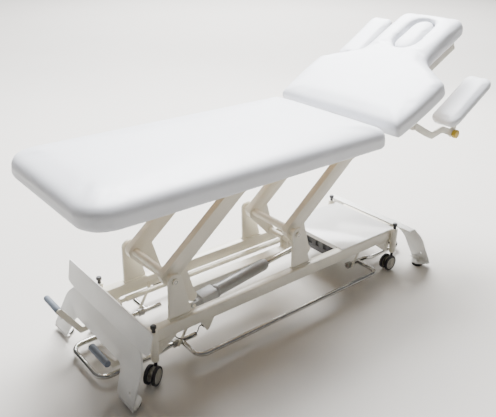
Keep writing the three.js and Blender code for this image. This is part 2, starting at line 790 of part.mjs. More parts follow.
// Small plate under the rail that carries the ring's switch
function switchBracketPlate() {
  const { x, width, depth, thickness } = switchBracket;
  const top = rail.bottom + fit.weld;
  const outer = rail.outerY - rail.edge;
  const flat = box(x - width / 2, x + width / 2, rail.innerY + rail.edge, outer, top - thickness, top);
  const web = outline([
    [x - width / 2, top - fit.weld],
    [x - fit.overrun, top - depth, 2 * thickness],
    [x + fit.overrun, top - depth, 2 * thickness],
    [x + width / 2, top - fit.weld],
  ]);
  return weld(flat, plate("xz", web, outer - thickness, outer));
}

function ringSwitch() {
  const { x, thickness, boxLength, boxWidth, boxHeight } = switchBracket;
  const top = rail.bottom + fit.weld - thickness - fit.seat;
  const outer = rail.outerY - rail.edge - thickness - fit.seat;
  const shape = roundedBox(x - boxLength / 2, x + boxLength / 2, top - boxHeight, top, thickness);
  return plate("xz", shape, outer - boxWidth, outer);
}

// Lead from the near switch along the underside of the rail, hand-routed
const leadRoute = [
  [-556, -166, 141.4],
  [-545, -169, 137],
  [-534, -173, 118],
  [-508, -176, 100],
  [-470, -176, 93],
  [-444, -173, 102],
  [-434, -170, 118],
  [-427, -170, 121],
  [-420.7, -170, 121.2],
];

function switchLead() {
  const curve = new THREE.CatmullRomCurve3(leadRoute.map((point) => new THREE.Vector3(...point)));
  return bentBar(curve.getPoints(4 * sides.bend).map((point) => point.toArray()), lead.radius,
    sides.small / 2);
}

// Castor shafts, their levers, the pedals and the link

function leverPlate(end, side) {
  const { arm: reach, thickness, root, tip, slotLength, play, inset } = lever;
  const inner = side * (rail.outerY - gusset.thickness - inset);
  const [from, to] = side > 0 ? [inner - thickness, inner] : [inner, inner + thickness];
  const slotHalf = castor.pin + play;
  const { x, z } = castorShaft;
  const shape = outline([
    [end * x - end * root, z - root, root - fit.weld],
    [end * (x + reach + slotLength + tip), z - tip, tip - fit.weld],
    [end * (x + reach + slotLength + tip), z + tip, tip - fit.weld],
    [end * x - end * root, z + root, root - fit.weld],
  ]);
  const slot = roundedBox(
    end > 0 ? x + reach - slotLength : -x - reach - slotLength,
    end > 0 ? x + reach + slotLength : -x - reach + slotLength,
    z - slotHalf, z + slotHalf, slotHalf - fit.turning,
  );
  return cut(plate("xz", shape, from, to), plate("xz", slot, from - fit.overrun, to + fit.overrun));
}

function castorShaftBar(end) {
  const { x, z, radius } = castorShaft;
  const reach = rail.outerY - fit.seat;
  const bar = rod("y", radius, -reach, reach, end * x, z, sides.medium);
  return weld(bar, leverPlate(end, 1), leverPlate(end, -1), linkCrank(end));
}

// The crank that works the link: up at the foot, down at the head
function linkCrank(end) {
  const { x, z } = castorShaft;
  const { throwRadius, pin, tab, y, pinReach } = castorLink;
  const width = pedal.width / 2;
  const tipZ = z - end * throwRadius;
  const low = Math.min(z, tipZ) - width;
  const high = Math.max(z, tipZ) + width;
  const from = pedal.y - pedal.thickness / 2;
  const flat = plate("xz", roundedBox(end * x - width, end * x + width, low, high, width - fit.weld), from,
    from + pedal.thickness);
  const stud = rod("y", pin, from - pinReach, from + fit.weld, end * x, tipZ);
  return weld(flat, stud);
}

function pedalShaft() {
  const { y, width, thickness, elbowX, elbowZ, kneeX, kneeZ, tipX, tipZ, collar, stub } = pedal;
  const half = width / 2;
  const flat = [
    [-castorShaft.x, castorShaft.z],
    [-elbowX, elbowZ],
    [-kneeX, kneeZ],
    [-tipX, tipZ],
  ];
  const band = (side) =>
    flat.map(([px, pz], index) => {
      const before = flat[Math.max(index - 1, 0)];
      const after = flat[Math.min(index + 1, flat.length - 1)];
      const inTurn = new THREE.Vector2(px - before[0], pz - before[1]).normalize();
      const outTurn = new THREE.Vector2(after[0] - px, after[1] - pz).normalize();
      if (index === 0) inTurn.copy(outTurn);
      if (index === flat.length - 1) outTurn.copy(inTurn);
      const along = inTurn.clone().add(outTurn).normalize();
      const skin = (side * half) / along.dot(inTurn);
      return [px - along.y * skin, pz + along.x * skin, index > 0 && index < flat.length - 1 ? half : 0];
    });
  const shape = outline([...band(-1), ...band(1).reverse()]);
  const strip = plate("xz", shape, y - thickness / 2, y + thickness / 2);
  const boss = sleeve("y", collar, castorShaft.radius - fit.weld, y - thickness / 2, y + 2 * thickness,
    -castorShaft.x,
    castorShaft.z);
  const end = rod("y", half, y - thickness / 2, y + thickness / 2, -tipX, tipZ, sides.medium);
  const peg = rod("y", stub, y, y + grip.length - grip.wall, -tipX, tipZ);
  return weld(castorShaftBar(-1), bothSides(weld(strip, boss, end, peg)));
}

function pedalGrip() {
  const { radius, tipRadius, length, wall } = grip;
  const from = pedal.y + pedal.thickness / 2 + fit.seat;
  const to = from + length;
  const bore = (pedal.stub + fit.seat) / Math.cos(Math.PI / sides.medium);
  const profile = [
    [bore, from], [radius, from], [tipRadius, to - wall], [tipRadius - wall, to], [0, to],
    [0, to - wall + fit.seat], [bore, to - wall + fit.seat], [bore, from],
  ];
  return turned("y", profile, -pedal.tipX, pedal.tipZ);
}

function castorLinkBar() {
  const { radius, y, z, throwRadius, pin, tab, tabWidth, endGap, play, pinReach } = castorLink;
  const reach = castorShaft.x - endGap;
  const tube = rod("x", radius, -reach, reach, y, z, sides.medium);
  const outer = pedal.y - pedal.thickness / 2 - fit.seat;
  const inner = outer - tab;
  const half = tabWidth / 2;
  const footZ = castorShaft.z + throwRadius;
  const headZ = castorShaft.z - throwRadius;
  const boreHalf = pin + fit.turning;
  const slot = (x, at) => plate("xz", roundedBox(x - boreHalf, x + boreHalf, at - boreHalf - play,
    at + boreHalf + play,
    boreHalf - fit.seat), inner - fit.overrun, outer + fit.overrun);
  const footTab = plate("xz", roundedBox(-castorShaft.x - half, -reach + tabWidth, footZ - half,
    footZ + half, half / 2),
    inner, outer);
  const drop = outline([
    [reach - tabWidth, headZ - half, half / 2],
    [castorShaft.x + half, headZ - half, half / 2],
    [castorShaft.x + half, headZ + half - fit.weld, half / 2],
    [reach + fit.overrun, headZ + half - fit.weld, 0],
    [reach + fit.overrun, z + half, half / 2],
    [reach - tabWidth, z + half, half / 2],
  ]);
  const headTab = plate("xz", drop, inner, outer);
  return cut(weld(tube, footTab, headTab), slot(-castorShaft.x, footZ), slot(castorShaft.x, headZ));
}

// Castors

function castorStem({ end, side }) {
  const { stem, cap, capHeight, neck, pin, hoodTop } = castor;
  const capLow = post.top + neck;
  const capTop = capLow + capHeight;
  const round = capHeight / 4;
  const low = hoodTop + fit.seat;
  const profile = [
    [0, low], [stem, low], [stem, capLow], [cap, capLow],
    [cap, capTop - round], [cap - round, capTop], [0, capTop],
  ];
  const bar = turned("z", profile, end * post.x, side * post.y, sides.medium);
  const from = rail.outerY - gusset.thickness - lever.inset - lever.thickness - fit.weld;
  const [near, far] = [side * from, side * post.y].sort((a, b) => a - b);
  const stud = rod("y", pin, near, far, end * post.x,
    castorShaft.z);
  return weld(bar, stud);
}

// Hood and wheels are built at the stem with the trail along +X
function castorHood() {
  const { hoodWidth, hoodRadius, trail, axleZ, axle, hoodTop, cap } = castor;
  const half = hoodWidth / 2;
  const body = plate("xz", outline([
    [-cap, hoodTop, fit.overrun],
    [-cap, hoodTop - hoodRadius / 2, fit.overrun],
    [trail, axleZ - hoodRadius / 2, hoodRadius / 3],
    [trail + hoodRadius / 2, axleZ, hoodRadius / 3],
    [trail + hoodRadius / 2, hoodTop - hoodRadius / 4, hoodRadius / 3],
    [cap, hoodTop, fit.overrun],
  ]), -half, half);
  const bore = rod("y", axle + fit.turning, -half - fit.overrun, half + fit.overrun, trail, axleZ);
  return cut(body, bore);
}

function castorWheels() {
  const { wheel, wheelWidth, wheelGap, hoodWidth, trail, axleZ, axle, hub, tyreRound, dish } = castor;
  const from = hoodWidth / 2 + wheelGap;
  const to = from + wheelWidth;
  const half = [
    [axle, from], [wheel - tyreRound, from], [wheel, from + tyreRound], [wheel, to - tyreRound],
    [wheel - tyreRound, to], [wheel - 2 * tyreRound - dish, to - dish], [hub, to - dish],
    [hub - dish, to], [0, to],
  ];
  const profile = [...half.map(([radius, along]) => [radius, -along]).reverse(), ...half];
  return turned("y", profile, trail, axleZ, sides.large);
}

// Lift arms, built along +X from the lower pivot with the crank turned down

function liftArm(isHead) {
  const { depth, width, innerY, outerY, tube, tubeTop, crankEnd, crankThickness, web, crankTube,
    edge } = arm;
  const { armLength, crank } = lift;
  const half = depth / 2;
  const bar = plate("xz", roundedBox(-half, armLength + half, -half, half, half - fit.weld), innerY, outerY);
  const crankShape = outline([
    [-half + fit.weld, 0, 0],
    [-crankEnd, -crank, 0],
    [-crankEnd, -crank - crankEnd, crankEnd - fit.weld],
    [crankEnd, -crank - crankEnd, crankEnd - fit.weld],
    [crankEnd, -crank + crankEnd / 2, crankEnd],
    [web, -half + fit.weld, crankEnd],
    [web, 0, 0],
  ]);
  const inset = (width - crankThickness) / 2;
  const crankPlate = plate("xz", crankShape, innerY + inset, outerY - inset, sides.bend);
  const lower = sleeve("y", tube, crankTube / 2 + fit.turning, -lug.innerY + fit.seat,
    lug.innerY - fit.seat, 0, 0);
  const reach = upper.hangerY - upper.hangerThickness / 2 - fit.seat;
  const top = sleeve("y", tubeTop, crankTube / 2 + fit.turning, -reach, reach, armLength, 0);
  const crankBar = isHead ? headCrankTube() : rod("y", crankTube, -outerY + inset, outerY - inset, 0,
    -crank, sides.medium);
  const lowerBore = boreTool("y", crankTube / 2 + fit.turning, -lug.innerY, lug.innerY, 0, 0, sides.medium);
  const topBore = boreTool("y", crankTube / 2 + fit.turning, -reach, reach, armLength, 0, sides.medium);
  return weld(cut(weld(bothSides(weld(bar, crankPlate)), lower, top), lowerBore, topBore), crankBar);
}

// The head crank's cross tube necks down to a pin where the actuator's eye sits
function headCrankTube() {
  const reach = arm.outerY - (arm.width - arm.crankThickness) / 2;
  const { y, neck, pin } = actuator;
  const profile = [
    [0, -reach], [arm.crankTube, -reach], [arm.crankTube, y - neck / 2], [pin, y - neck / 2],
    [pin, y + neck / 2], [arm.crankTube, y + neck / 2], [arm.crankTube, reach], [0, reach],
  ];
  return turned("y", profile, 0, -lift.crank);
}

// A point on an arm's crank or top, in the table's frame
function crankPin(x) {
  const angle = (lift.angle + lift.crankTurn) * degrees;
  return [x + lift.crank * Math.cos(angle), lift.pivotZ + lift.crank * Math.sin(angle)];
}

function armTop(x) {
  const angle = lift.angle * degrees;
  return [x + lift.armLength * Math.cos(angle), lift.pivotZ + lift.armLength * Math.sin(angle)];
}

function tieBeam() {
  const [footX, pinZ] = crankPin(lift.footX);
  const [headX] = crankPin(lift.headX);
  const { width, height, drop, ear, earThickness } = tie;
  const top = pinZ - drop;
  const half = width / 2;
  const bore = arm.crankTube + fit.turning;
  const beam = plate("yz", roundedBox(-half, half, top - height, top, height / 6), footX, headX);
  const earAt = (x) =>
    plate("xz", withHoles(outline([
      [x - ear, top - height / 2],
      [x + ear, top - height / 2],
      [x + ear, pinZ + ear, ear - fit.weld],
      [x - ear, pinZ + ear, ear - fit.weld],
    ]), hole(x, pinZ, bore)), half - earThickness, half);
  const ears = [earAt(footX), earAt(headX)];
  return weld(beam, bothSides(weld(ears)));
}

// Actuator, built along +X from its base pin at the origin

function actuatorPlace() {
  const [x, z] = crankPin(lift.headX);
  const dx = x - actuator.baseX;
  const dz = z - actuator.baseZ;
  return { length: Math.hypot(dx, dz), turn: -Math.atan2(dz, dx) };
}

function actuatorMotor() {
  const { pin, fork, forkLength, forkWidth, forkWall, motorLength, motorWidth, motorHeight } = actuator;
  const half = motorWidth / 2;
  const block = plate("yz", roundedBox(-half, half, -motorHeight * actuatorOffsetShare, motorHeight
    * (1 - actuatorOffsetShare), half / 3), forkLength - fit.overrun, forkLength + motorLength);
  const tab = plate("xz", withHoles(outline([
    [-fork, -fork, fork - fit.weld],
    [forkLength, -fork, 0],
    [forkLength, fork, 0],
    [-fork, fork, fork - fit.weld],
  ]), hole(0, 0, pin + fit.turning)), -forkWidth / 2, forkWidth / 2);
  const gap = box(-fork - fit.overrun, fork + fit.overrun, -forkWidth / 2 + forkWall,
    forkWidth / 2 - forkWall,
    -fork - fit.overrun, fork + fit.overrun);
  return weld(block, cut(tab, gap));
}

const actuatorOffsetShare = 0.62;
const rodInnerShare = 0.74;

function actuatorTube() {
  const { forkLength, motorLength, tube, tubeLength, rod: rodRadius, step } = actuator;
  const from = forkLength + motorLength + fit.seat;
  const to = from + tubeLength;
  const bore = rodRadius + fit.turning;
  const profile = [
    [bore, from], [tube + step / 2, from], [tube + step / 2, from + 2 * step],
    [tube, from + 2 * step + step / 2],
    [tube, to - 2 * step], [tube - step, to], [bore, to], [bore, from],
  ];
  return turned("x", profile, 0, 0, sides.medium);
}

function actuatorRod() {
  const { length } = actuatorPlace();
  const { forkLength, motorLength, tubeLength, rod: rodRadius, eye, eyeBore, eyeWidth } = actuator;
  const from = forkLength + motorLength + tubeLength * rodInnerShare;
  const bar = rod("x", rodRadius, from, length - (eye + eyeBore) / 2, 0, 0, sides.medium);
  const ring = sleeve("y", eye, eyeBore, -eyeWidth / 2, eyeWidth / 2, length, 0, sides.medium);
  return weld(bar, ring);
}

// Bracket that carries the actuator's base pin from the near rail
function actuatorBracketPiece() {
  const { y, baseX, baseZ, pin, forkWidth, forkWall, fork } = actuator;
  const { height, length, wall, innerY } = actuatorBracket;
  const railFace = -rail.innerY + fit.seat;
  const reach = forkWidth / 2 - forkWall - fit.turning;
  const ear = plate("xz", outline([
    [baseX - length, baseZ - height / 2],
    [baseX, baseZ - height / 2, height / 3],
    [baseX + pin + wall, baseZ, pin],
    [baseX, baseZ + height / 2, height / 3],
    [baseX - length, baseZ + height / 2],
  ]), y - reach, y + reach);
  const beam = box(baseX - length, baseX - length + wall * 2, railFace, innerY, baseZ - height / 2,
    baseZ + height / 2);
  const pinBar = rod("y", pin, y - forkWidth / 2, y + forkWidth / 2, baseX, baseZ);
  const foot = box(baseX - length, baseX - fit.weld - fork, railFace, railFace + wall, baseZ - height / 2,
    baseZ + height / 2);
  return weld(ear, beam, pinBar, foot);
}

// Upper frame

function upperFrame() {
  const { tubeY, tubeWidth, top, depth, footX, headX, crossHalf, middleX, footCrossX, wall } = upper;
  const low = top - depth;
  const [footTopX] = armTop(lift.footX);
  const [headTopX] = armTop(lift.headX);
  const side = plate("yz", roundedBox(tubeY, tubeY + tubeWidth, low, top, wall), footX, headX);
  const cross = (x) => box(x - crossHalf, x + crossHalf, -tubeY - fit.weld, tubeY + fit.weld, low, top);
  const ear = plate("xz", outline([
    [headX - tubeWidth, low],
    [head.hingeX + fit.overrun, low],
    [head.hingeX + headFrame.ear, head.hingeZ, headFrame.ear / 2],
    [head.hingeX, head.hingeZ + headFrame.ear, headFrame.ear / 2],
    [head.hingeX - headFrame.ear, head.hingeZ, headFrame.ear / 2],
    [headX - tubeWidth, low + depth / 2],
  ]), tubeY + tubeWidth - headFrame.wall, tubeY + tubeWidth);
  const { baseX, baseZ, eye } = spring;
  const springLug = plate("xz", outline([
    [headTopX - crossHalf, low + fit.weld],
    [baseX - eye, baseZ - eye, eye / 2],
    [baseX + eye, baseZ - eye, eye / 2],
    [baseX + eye, baseZ + eye, eye / 2],
    [headTopX + crossHalf / 2 - fit.weld, low + depth / 2],
  ]), spring.y + eye, spring.y + eye + headFrame.wall);
  const springPin = rod("y", spring.pin, spring.y - eye, spring.y + eye + fit.weld, baseX, baseZ);
  return weld(bothSides(weld(side, ear, hingePin(), upperHangers())), cross(footCrossX), cross(footTopX),
    cross(headTopX - crossHalf / 2), springLug, springPin);
}

function hingePin() {
  const { pin, wall } = headFrame;
  const outer = upper.tubeY + upper.tubeWidth;
  return weld(
    rod("y", pin, outer - 3 * wall, outer, head.hingeX, head.hingeZ, sides.medium),
    rod("y", pin * pinCapShare, outer - fit.weld, outer + wall, head.hingeX, head.hingeZ, sides.medium),
  );
}

const pinCapShare = 1.6;

function upperHangers() {
  const { hangerY, hangerThickness, hangerRound, hangerHalf, top, depth, crossHalf } = upper;
  const low = top - depth + fit.weld;
  const radius = arm.crankTube / 2;
  const each = ([x, z]) => {
    const from = hangerY - hangerThickness / 2;
    const to = from + hangerThickness;
    const upright = outline([
      [x - hangerHalf, low],
      [x - hangerRound, z - hangerRound, hangerRound - fit.weld],
      [x + hangerRound, z - hangerRound, hangerRound - fit.weld],
      [x + hangerHalf, low],
    ]);
    return [
      plate("xz", upright, from, to),
      rod("y", radius, from - 2 * hangerThickness, to, x, z, sides.medium),
      rod("y", 2 * radius, to - fit.weld, to + hangerThickness, x, z, 6),
    ];
  };
  return weld(each(armTop(lift.footX)), each(armTop(lift.headX)));
}

function bodyOutline(inset) {
  const { footX, headX, halfWidth, footCorner, edge, cornerRoom } = body;
  const corner = footCorner - inset;
  const tight = edge + cornerRoom;
  return outline([
    [footX + inset, halfWidth - inset, corner],
    [footX + inset, -halfWidth + inset, corner],
    [headX - inset, -halfWidth + inset, tight],
    [headX - inset, halfWidth - inset, tight],
  ]);
}

function bodyBoard() {
  return plate("xy", bodyOutline(board.inset), upper.top + fit.seat, upper.top + board.thickness,
    sides.bend);
}

function bodyCushion() {
  const spine = [body.footX + body.halfWidth, body.headX - body.halfWidth / 3];
  const bottom = upper.top + fit.seat;
  const form = paddedForm(bodyOutline(0), cushionLayers(body, bottom), body.crown, spine, sides.cushion);
  const recess = plate("xy", bodyOutline(board.inset - fit.seat), bottom - fit.overrun,
    upper.top + board.thickness + fit.seat, sides.bend);
  return cut(form, recess);
}

// Head section, in the frame of its own top edge at the seam: u along the cushion, w up from it

function headPlace() {
  const tilt = head.tilt * degrees;
  const dx = head.hingeX - head.seamX;
  const dz = head.hingeZ - head.seamZ;
  return {
    hingeU: dx * Math.cos(tilt) + dz * Math.sin(tilt),
    hingeW: -dx * Math.sin(tilt) + dz * Math.cos(tilt),
  };
}

function headOutline(inset) {
  const { length, wide, narrow, tipRadius, shoulderRadius, shoulderU, neckU, footHalf, waistU,
    waistBlend } = head;
  const turn = Math.abs(Math.atan2(wide - footHalf, waistU - inset));
  const waistRadius = turn > 0 ? waistBlend / Math.tan(turn / 2) : 0;
  const share = headInsetShares;
  const half = [
    [inset, footHalf - inset, 0],
    [waistU, wide - inset, waistRadius],
    [shoulderU - inset * share.shoulder, wide - inset, shoulderRadius - inset * share.radius],
    [neckU - inset * share.neck, narrow - inset, tipRadius],
    [length - inset, narrow - inset * share.tip, tipRadius - inset * share.radius],
  ];
  const low = half.map(([u, v, radius]) => [u, -v, radius]);
  return outline([...low, ...half.reverse()]);
}

function slotShape(play) {
  const { slotU, slotLength, slotWidth } = head;
  const round = slotWidth / 2 - play;
  const reach = slotLength / 2 - play;
  const quarter = Math.PI / 2;
  return new THREE.Shape()
    .absarc(slotU + reach - round, 0, round, -quarter, quarter, false)
    .absarc(slotU - reach + round, 0, round, quarter, 3 * quarter, false);
}

function headCushion() {
  const spine = [head.wide / 3, head.length - head.narrow * head.tipSpineShare];
  const low = -head.thickness - head.crown;
  const whole = paddedForm(headOutline(0), cushionLayers(head, low), head.crown, spine, sides.bend);
  const slot = plate("xy", slotShape(0), low - fit.overrun, head.crown + fit.overrun, sides.bend);
  return cut(whole, slot);
}

function headBoard() {
  const top = -head.thickness - head.crown - fit.seat;
  const flat = plate("xy", headOutline(board.headInset), top - board.thickness, top, sides.bend);
  const slot = plate("xy", slotShape(plug.play + plug.ledge), top - board.thickness - fit.overrun,
    top + fit.overrun,
    sides.bend);
  return cut(flat, slot);
}

function facePlug() {
  const top = -plug.sink;
  const { slotU, slotLength, slotWidth } = head;
  const round = slotWidth / 2 - plug.play;
  const reach = slotLength / 2 - plug.play;
  const thickness = head.thickness + head.crown - plug.sink;
  const layers = cushionLayers({ thickness, edge: plug.edge, lowerEdge: plug.edge / 2, drawnIn: 0 },
    top - thickness);
  return paddedForm(slotShape(plug.play), layers, head.crown, [slotU - reach + round, slotU + reach - round],
    sides.bend);
}

function headFrameTop() {
  return -head.thickness - head.crown - 2 * fit.seat - board.thickness;
}

function headFramePiece() {
  const { tubeY, tubeWidth, depth, reach, crossU, farCrossU, ear, pin, wall } = headFrame;
  const top = headFrameTop();
  const low = top - depth;
  const { hingeU, hingeW } = headPlace();
  const start = hingeU + 2 * ear;
  const side = box(start, reach, tubeY - tubeWidth, tubeY, low, top);
  const half = tubeWidth / 2;
  const cross = (u) => box(u - half, u + half, -tubeY + fit.weld, tubeY - fit.weld, low, top);
  const earFrom = upper.tubeY + upper.tubeWidth - headFrame.wall - fit.seat - wall;
  const hingeEar = plate("xz", withHoles(outline([
    [hingeU - pin - wall, hingeW + pin + wall, pin],
    [hingeU - pin - wall, hingeW - pin - wall, pin],
    [start, low, 0],
    [start + tubeWidth, low, 0],
    [start + tubeWidth, top, 0],
    [start, top, 0],
    [hingeU + pin + wall, hingeW + pin + wall, pin],
  ]), hole(hingeU, hingeW, pin + fit.turning)), earFrom, earFrom + wall);
  const outrigger = box(start, start + tubeWidth, tubeY - fit.weld, earFrom + fit.weld, low, top);
  const lugLow = low - spring.lugDrop;
  const springLug = box(spring.headU - spring.eye, spring.headU + spring.eye, spring.y + spring.eye,
    spring.y + spring.eye + wall, lugLow - spring.eye, low + fit.weld);
  const springCross = cross(spring.headU);
  const springPin = rod("y", spring.pin, spring.y - spring.eye, spring.y + spring.eye + fit.weld,
    spring.headU, lugLow);
  return weld(bothSides(weld(side, hingeEar, outrigger, armrestMount())), cross(start + half), cross(crossU),
    cross(farCrossU), cross(reach - half), springCross, springLug, springPin);
}

// Outrigger and pivot pin that carry one armrest, in the head section's frame
function armrestMount() {
  const { tubeY, tubeWidth } = headFrame;
  const { pivotX, pivotZ, y, thickness, pin, earGap } = armrest;
  const tilt = head.tilt * degrees;
  const dx = pivotX - head.seamX;
  const dz = pivotZ - head.seamZ;
  const u = dx * Math.cos(tilt) + dz * Math.sin(tilt);
  const w = -dx * Math.sin(tilt) + dz * Math.cos(tilt);
  const half = tubeWidth / 2;
  const face = y - thickness / 2 - fit.seat;
  const outer = y + thickness / 2 + fit.seat;
  const top = headFrameTop();
  return weld(
    box(u - half, u + half, tubeY - tubeWidth, face, Math.min(w - half, top - half), top),
    rod("y", pin, face - fit.weld, outer + fit.weld, u, w),
    rod("y", 2 * pin, outer, outer + earGap, u, w, sides.medium),
  );
}

// Gas spring from the upper frame to the head frame, built along +X
function springPlace() {
  const tilt = head.tilt * degrees;
  const u = spring.headU;
  const w = headFrameTop() - headFrame.depth - spring.lugDrop;
  const x = head.seamX + u * Math.cos(tilt) - w * Math.sin(tilt);
  const z = head.seamZ + u * Math.sin(tilt) + w * Math.cos(tilt);
  const [run, rise] = [x - spring.baseX, z - spring.baseZ];
  return { length: Math.hypot(run, rise), turn: -Math.atan2(rise, run) };
}

function springCylinder() {
  const { length } = springPlace();
  const { radius, rod: rodRadius, eye, cylinderShare } = spring;
  const to = length * cylinderShare;
  const bore = rodRadius + fit.turning;
  const tube = sleeve("x", radius, bore, 2 * eye, to, 0, 0);
  const eyeRing = sleeve("y", eye, spring.pin + fit.turning, -eye / 2, eye / 2, 0, 0, sides.small);
  const neck = rod("x", (radius + rodRadius) / 2, eye - fit.weld, 2 * eye + fit.weld * 2, 0, 0);
  return weld(tube, eyeRing, neck);
}

function springRod() {
  const { length } = springPlace();
  const { rod: rodRadius, eye, rodEye, rodEyeBore, back } = spring;
  const bar = rod("x", rodRadius, back, length - (rodEye + rodEyeBore) / 2, 0, 0);
  const ring = sleeve("y", rodEye, rodEyeBore, -eye / 2, eye / 2, length, 0, sides.medium);
  return weld(bar, ring);
}

// Armrests

function armrestLink(side) {
  const { y, thickness, width, length, kinkShares, pin } = armrest;
  const half = width / 2;
  const path = [[0, 0], ...kinkShares.map(([share, off]) => [length * share, -off]), [length, 0]];
  const band = (sign) =>
    path.map(([u, w], index) => {
      const before = path[Math.max(index - 1, 0)];
      const after = path[Math.min(index + 1, path.length - 1)];
      const along = new THREE.Vector2(after[0] - before[0], after[1] - before[1]).normalize();
      return [u - along.y * half * sign, w + along.x * half * sign,
        index > 0 && index < path.length - 1 ? width : 0];
    });
  const from = side > 0 ? y - thickness / 2 : -y - thickness / 2;
  const strip = plate("xz", outline([...band(-1), ...band(1).reverse()]), from, from + thickness);
  const ends = [0, length].map((u) => rod("y", half, from, from + thickness, u, 0, sides.medium));
  const bores = [0, length].map((u) => boreTool("y", pin + fit.turning, from, from + thickness, u, 0));
  return cut(weld(strip, ends), bores);
}

function padPlate(side) {
  const { padInner, padOuter, padLength, padThickness, padTop, padBack, plate: earThickness,
    plateInset } = armrest;
  const { y, thickness, ear, pin, pinEnd, corner } = armrest;
  const top = padTop - padThickness - fit.seat;
  const shape = roundedBox(-padBack + plateInset, padLength - padBack - plateInset, padInner + plateInset,
    padOuter - plateInset, corner - plateInset);
  const flat = plate("xy", shape, top - earThickness, top);
  const earOuter = y - thickness / 2 - fit.seat;
  const hangingEar = plate("xz", outline([
    [-ear / 2 + plateInset, top - fit.weld],
    [-ear, fit.weld, ear / 3],
    [-ear, -ear, ear - 2 * fit.weld],
    [ear, -ear, ear - 2 * fit.weld],
    [3 * ear, top - fit.weld],
  ]), earOuter - earThickness, earOuter);
  const whole = weld(flat, hangingEar, rod("y", pin, earOuter - fit.weld, pinEnd, 0, 0));
  return side > 0 ? whole : mirrored(whole, 1, -1);
}

function padCushion(side) {
  const { padHalf, padMiddle, padLength, padThickness, padTop, padBack, corner, crown } = armrest;
  const shape = roundedBox(-padBack, padLength - padBack, -padHalf, padHalf, corner);
  const layers = cushionLayers({ ...armrest, thickness: padThickness - crown }, padTop - padThickness);
  const form = paddedForm(shape, layers, crown, [padHalf - padBack, padLength - padBack - padHalf],
    sides.bend);
  return form.translate(0, side * padMiddle, 0);
}

// Clamping knob, bored for the pin that comes from the pad's ear through the arm
function armrestKnob(side) {
  const { knobFace: from, pinEnd, knob, knobWidth, knobGrooves, grooveDepth, pin } = armrest;
  const to = from + knobWidth;
  const round = knobWidth / 6;
  const bore = pin + fit.turning;
  const bored = [[0, pinEnd + fit.seat], [bore, pinEnd + fit.seat], [bore, from]];
  const body = turned("y", [...bored, [knob - round, from], [knob, from + round], [knob, to - round],
    [knob - round, to], [0, to]], 0, 0, sides.large);
  const grooves = Array.from({ length: knobGrooves }, (_, i) => {
    const angle = (2 * Math.PI * i) / knobGrooves;
    const reach = knob + grooveDepth;
    return rod("y", 2 * grooveDepth, from - fit.overrun, to + fit.overrun, reach * Math.cos(angle),
      reach * Math.sin(angle));
  });
  const whole = cut(body, grooves);
  return side > 0 ? whole : mirrored(whole, 1, -1);
}

// Scene

function mesh(name, geometry, finish) {
  const [color, roughness, metalness] = finishes[finish];
  const material = new THREE.MeshStandardMaterial({ color, roughness, metalness });
  const piece = new THREE.Mesh(geometry, material);
  piece.name = name;
  return piece;
}

function placed(x, y, z, turn, ...pieces) {
  const group = new THREE.Group();
  group.position.set(x, y, z);
  group.rotation.y = turn;
  group.add(...pieces);
  return group;
}

const table = new THREE.Group();

const farRail = baseRail();
const corners = castorSpots.map(({ name, end, side }) => ({ name, end, side }));
for (const { name, end, side } of corners)
  table.add(mesh(`rubber_foot_${name}`, mirrored(rubberFootPiece(), end, side), "rubber"));
for (const [name, side] of [["near", -1], ["far", 1]])
  table.add(
    mesh(`ring_switch_${name}`, mirrored(ringSwitch(), 1, side), "darkPlastic"),
    mesh(`pedal_grip_${name}`, mirrored(pedalGrip(), 1, side), "gripRubber"),
  );
table.add(
  mesh("base_rail_near", mirrored(farRail, 1, -1), "paint"),
  mesh("base_rail_far", farRail, "paint"),
  mesh("cross_member_foot", mirrored(crossMemberEnd(), -1, 1), "paint"),
  mesh("cross_member_head", crossMemberEnd(), "paint"),
  mesh("end_panel_foot", mirrored(footEndPanel(), -1, 1), "panel"),
  mesh("end_panel_head", headEndPanel(), "panel"),
  mesh("cover_plate", coverPlate(), "gloss"),
  mesh("control_box", controlBox(), "darkPlastic"),
  mesh("switch_lead", switchLead(), "darkPlastic"),
  mesh("actuator_bracket", actuatorBracketPiece(), "paint"),
  mesh("foot_bar", footRing(), "chrome"),
  mesh("castor_shaft_foot", pedalShaft(), "paint"),
  mesh("castor_shaft_head", castorShaftBar(1), "steel"),
  mesh("castor_link", castorLinkBar(), "paint"),
  mesh("tie_beam", tieBeam(), "paint"),
  mesh("upper_frame", upperFrame(), "paint"),
  mesh("body_board", bodyBoard(), "wood"),
  mesh("body_cushion", bodyCushion(), "vinyl"),
);

for (const spot of castorSpots) {
  table.add(mesh(`castor_stem_${spot.name}`, castorStem(spot), "darkPlastic"));
  const swivel = new THREE.Group();
  swivel.position.set(spot.end * post.x, spot.side * post.y, 0);
  swivel.rotation.z = spot.heading * degrees;
  swivel.add(
    mesh(`castor_hood_${spot.name}`, castorHood(), "disc"),
    mesh(`castor_wheels_${spot.name}`, castorWheels(), "rubber"),
  );
  table.add(swivel);
}

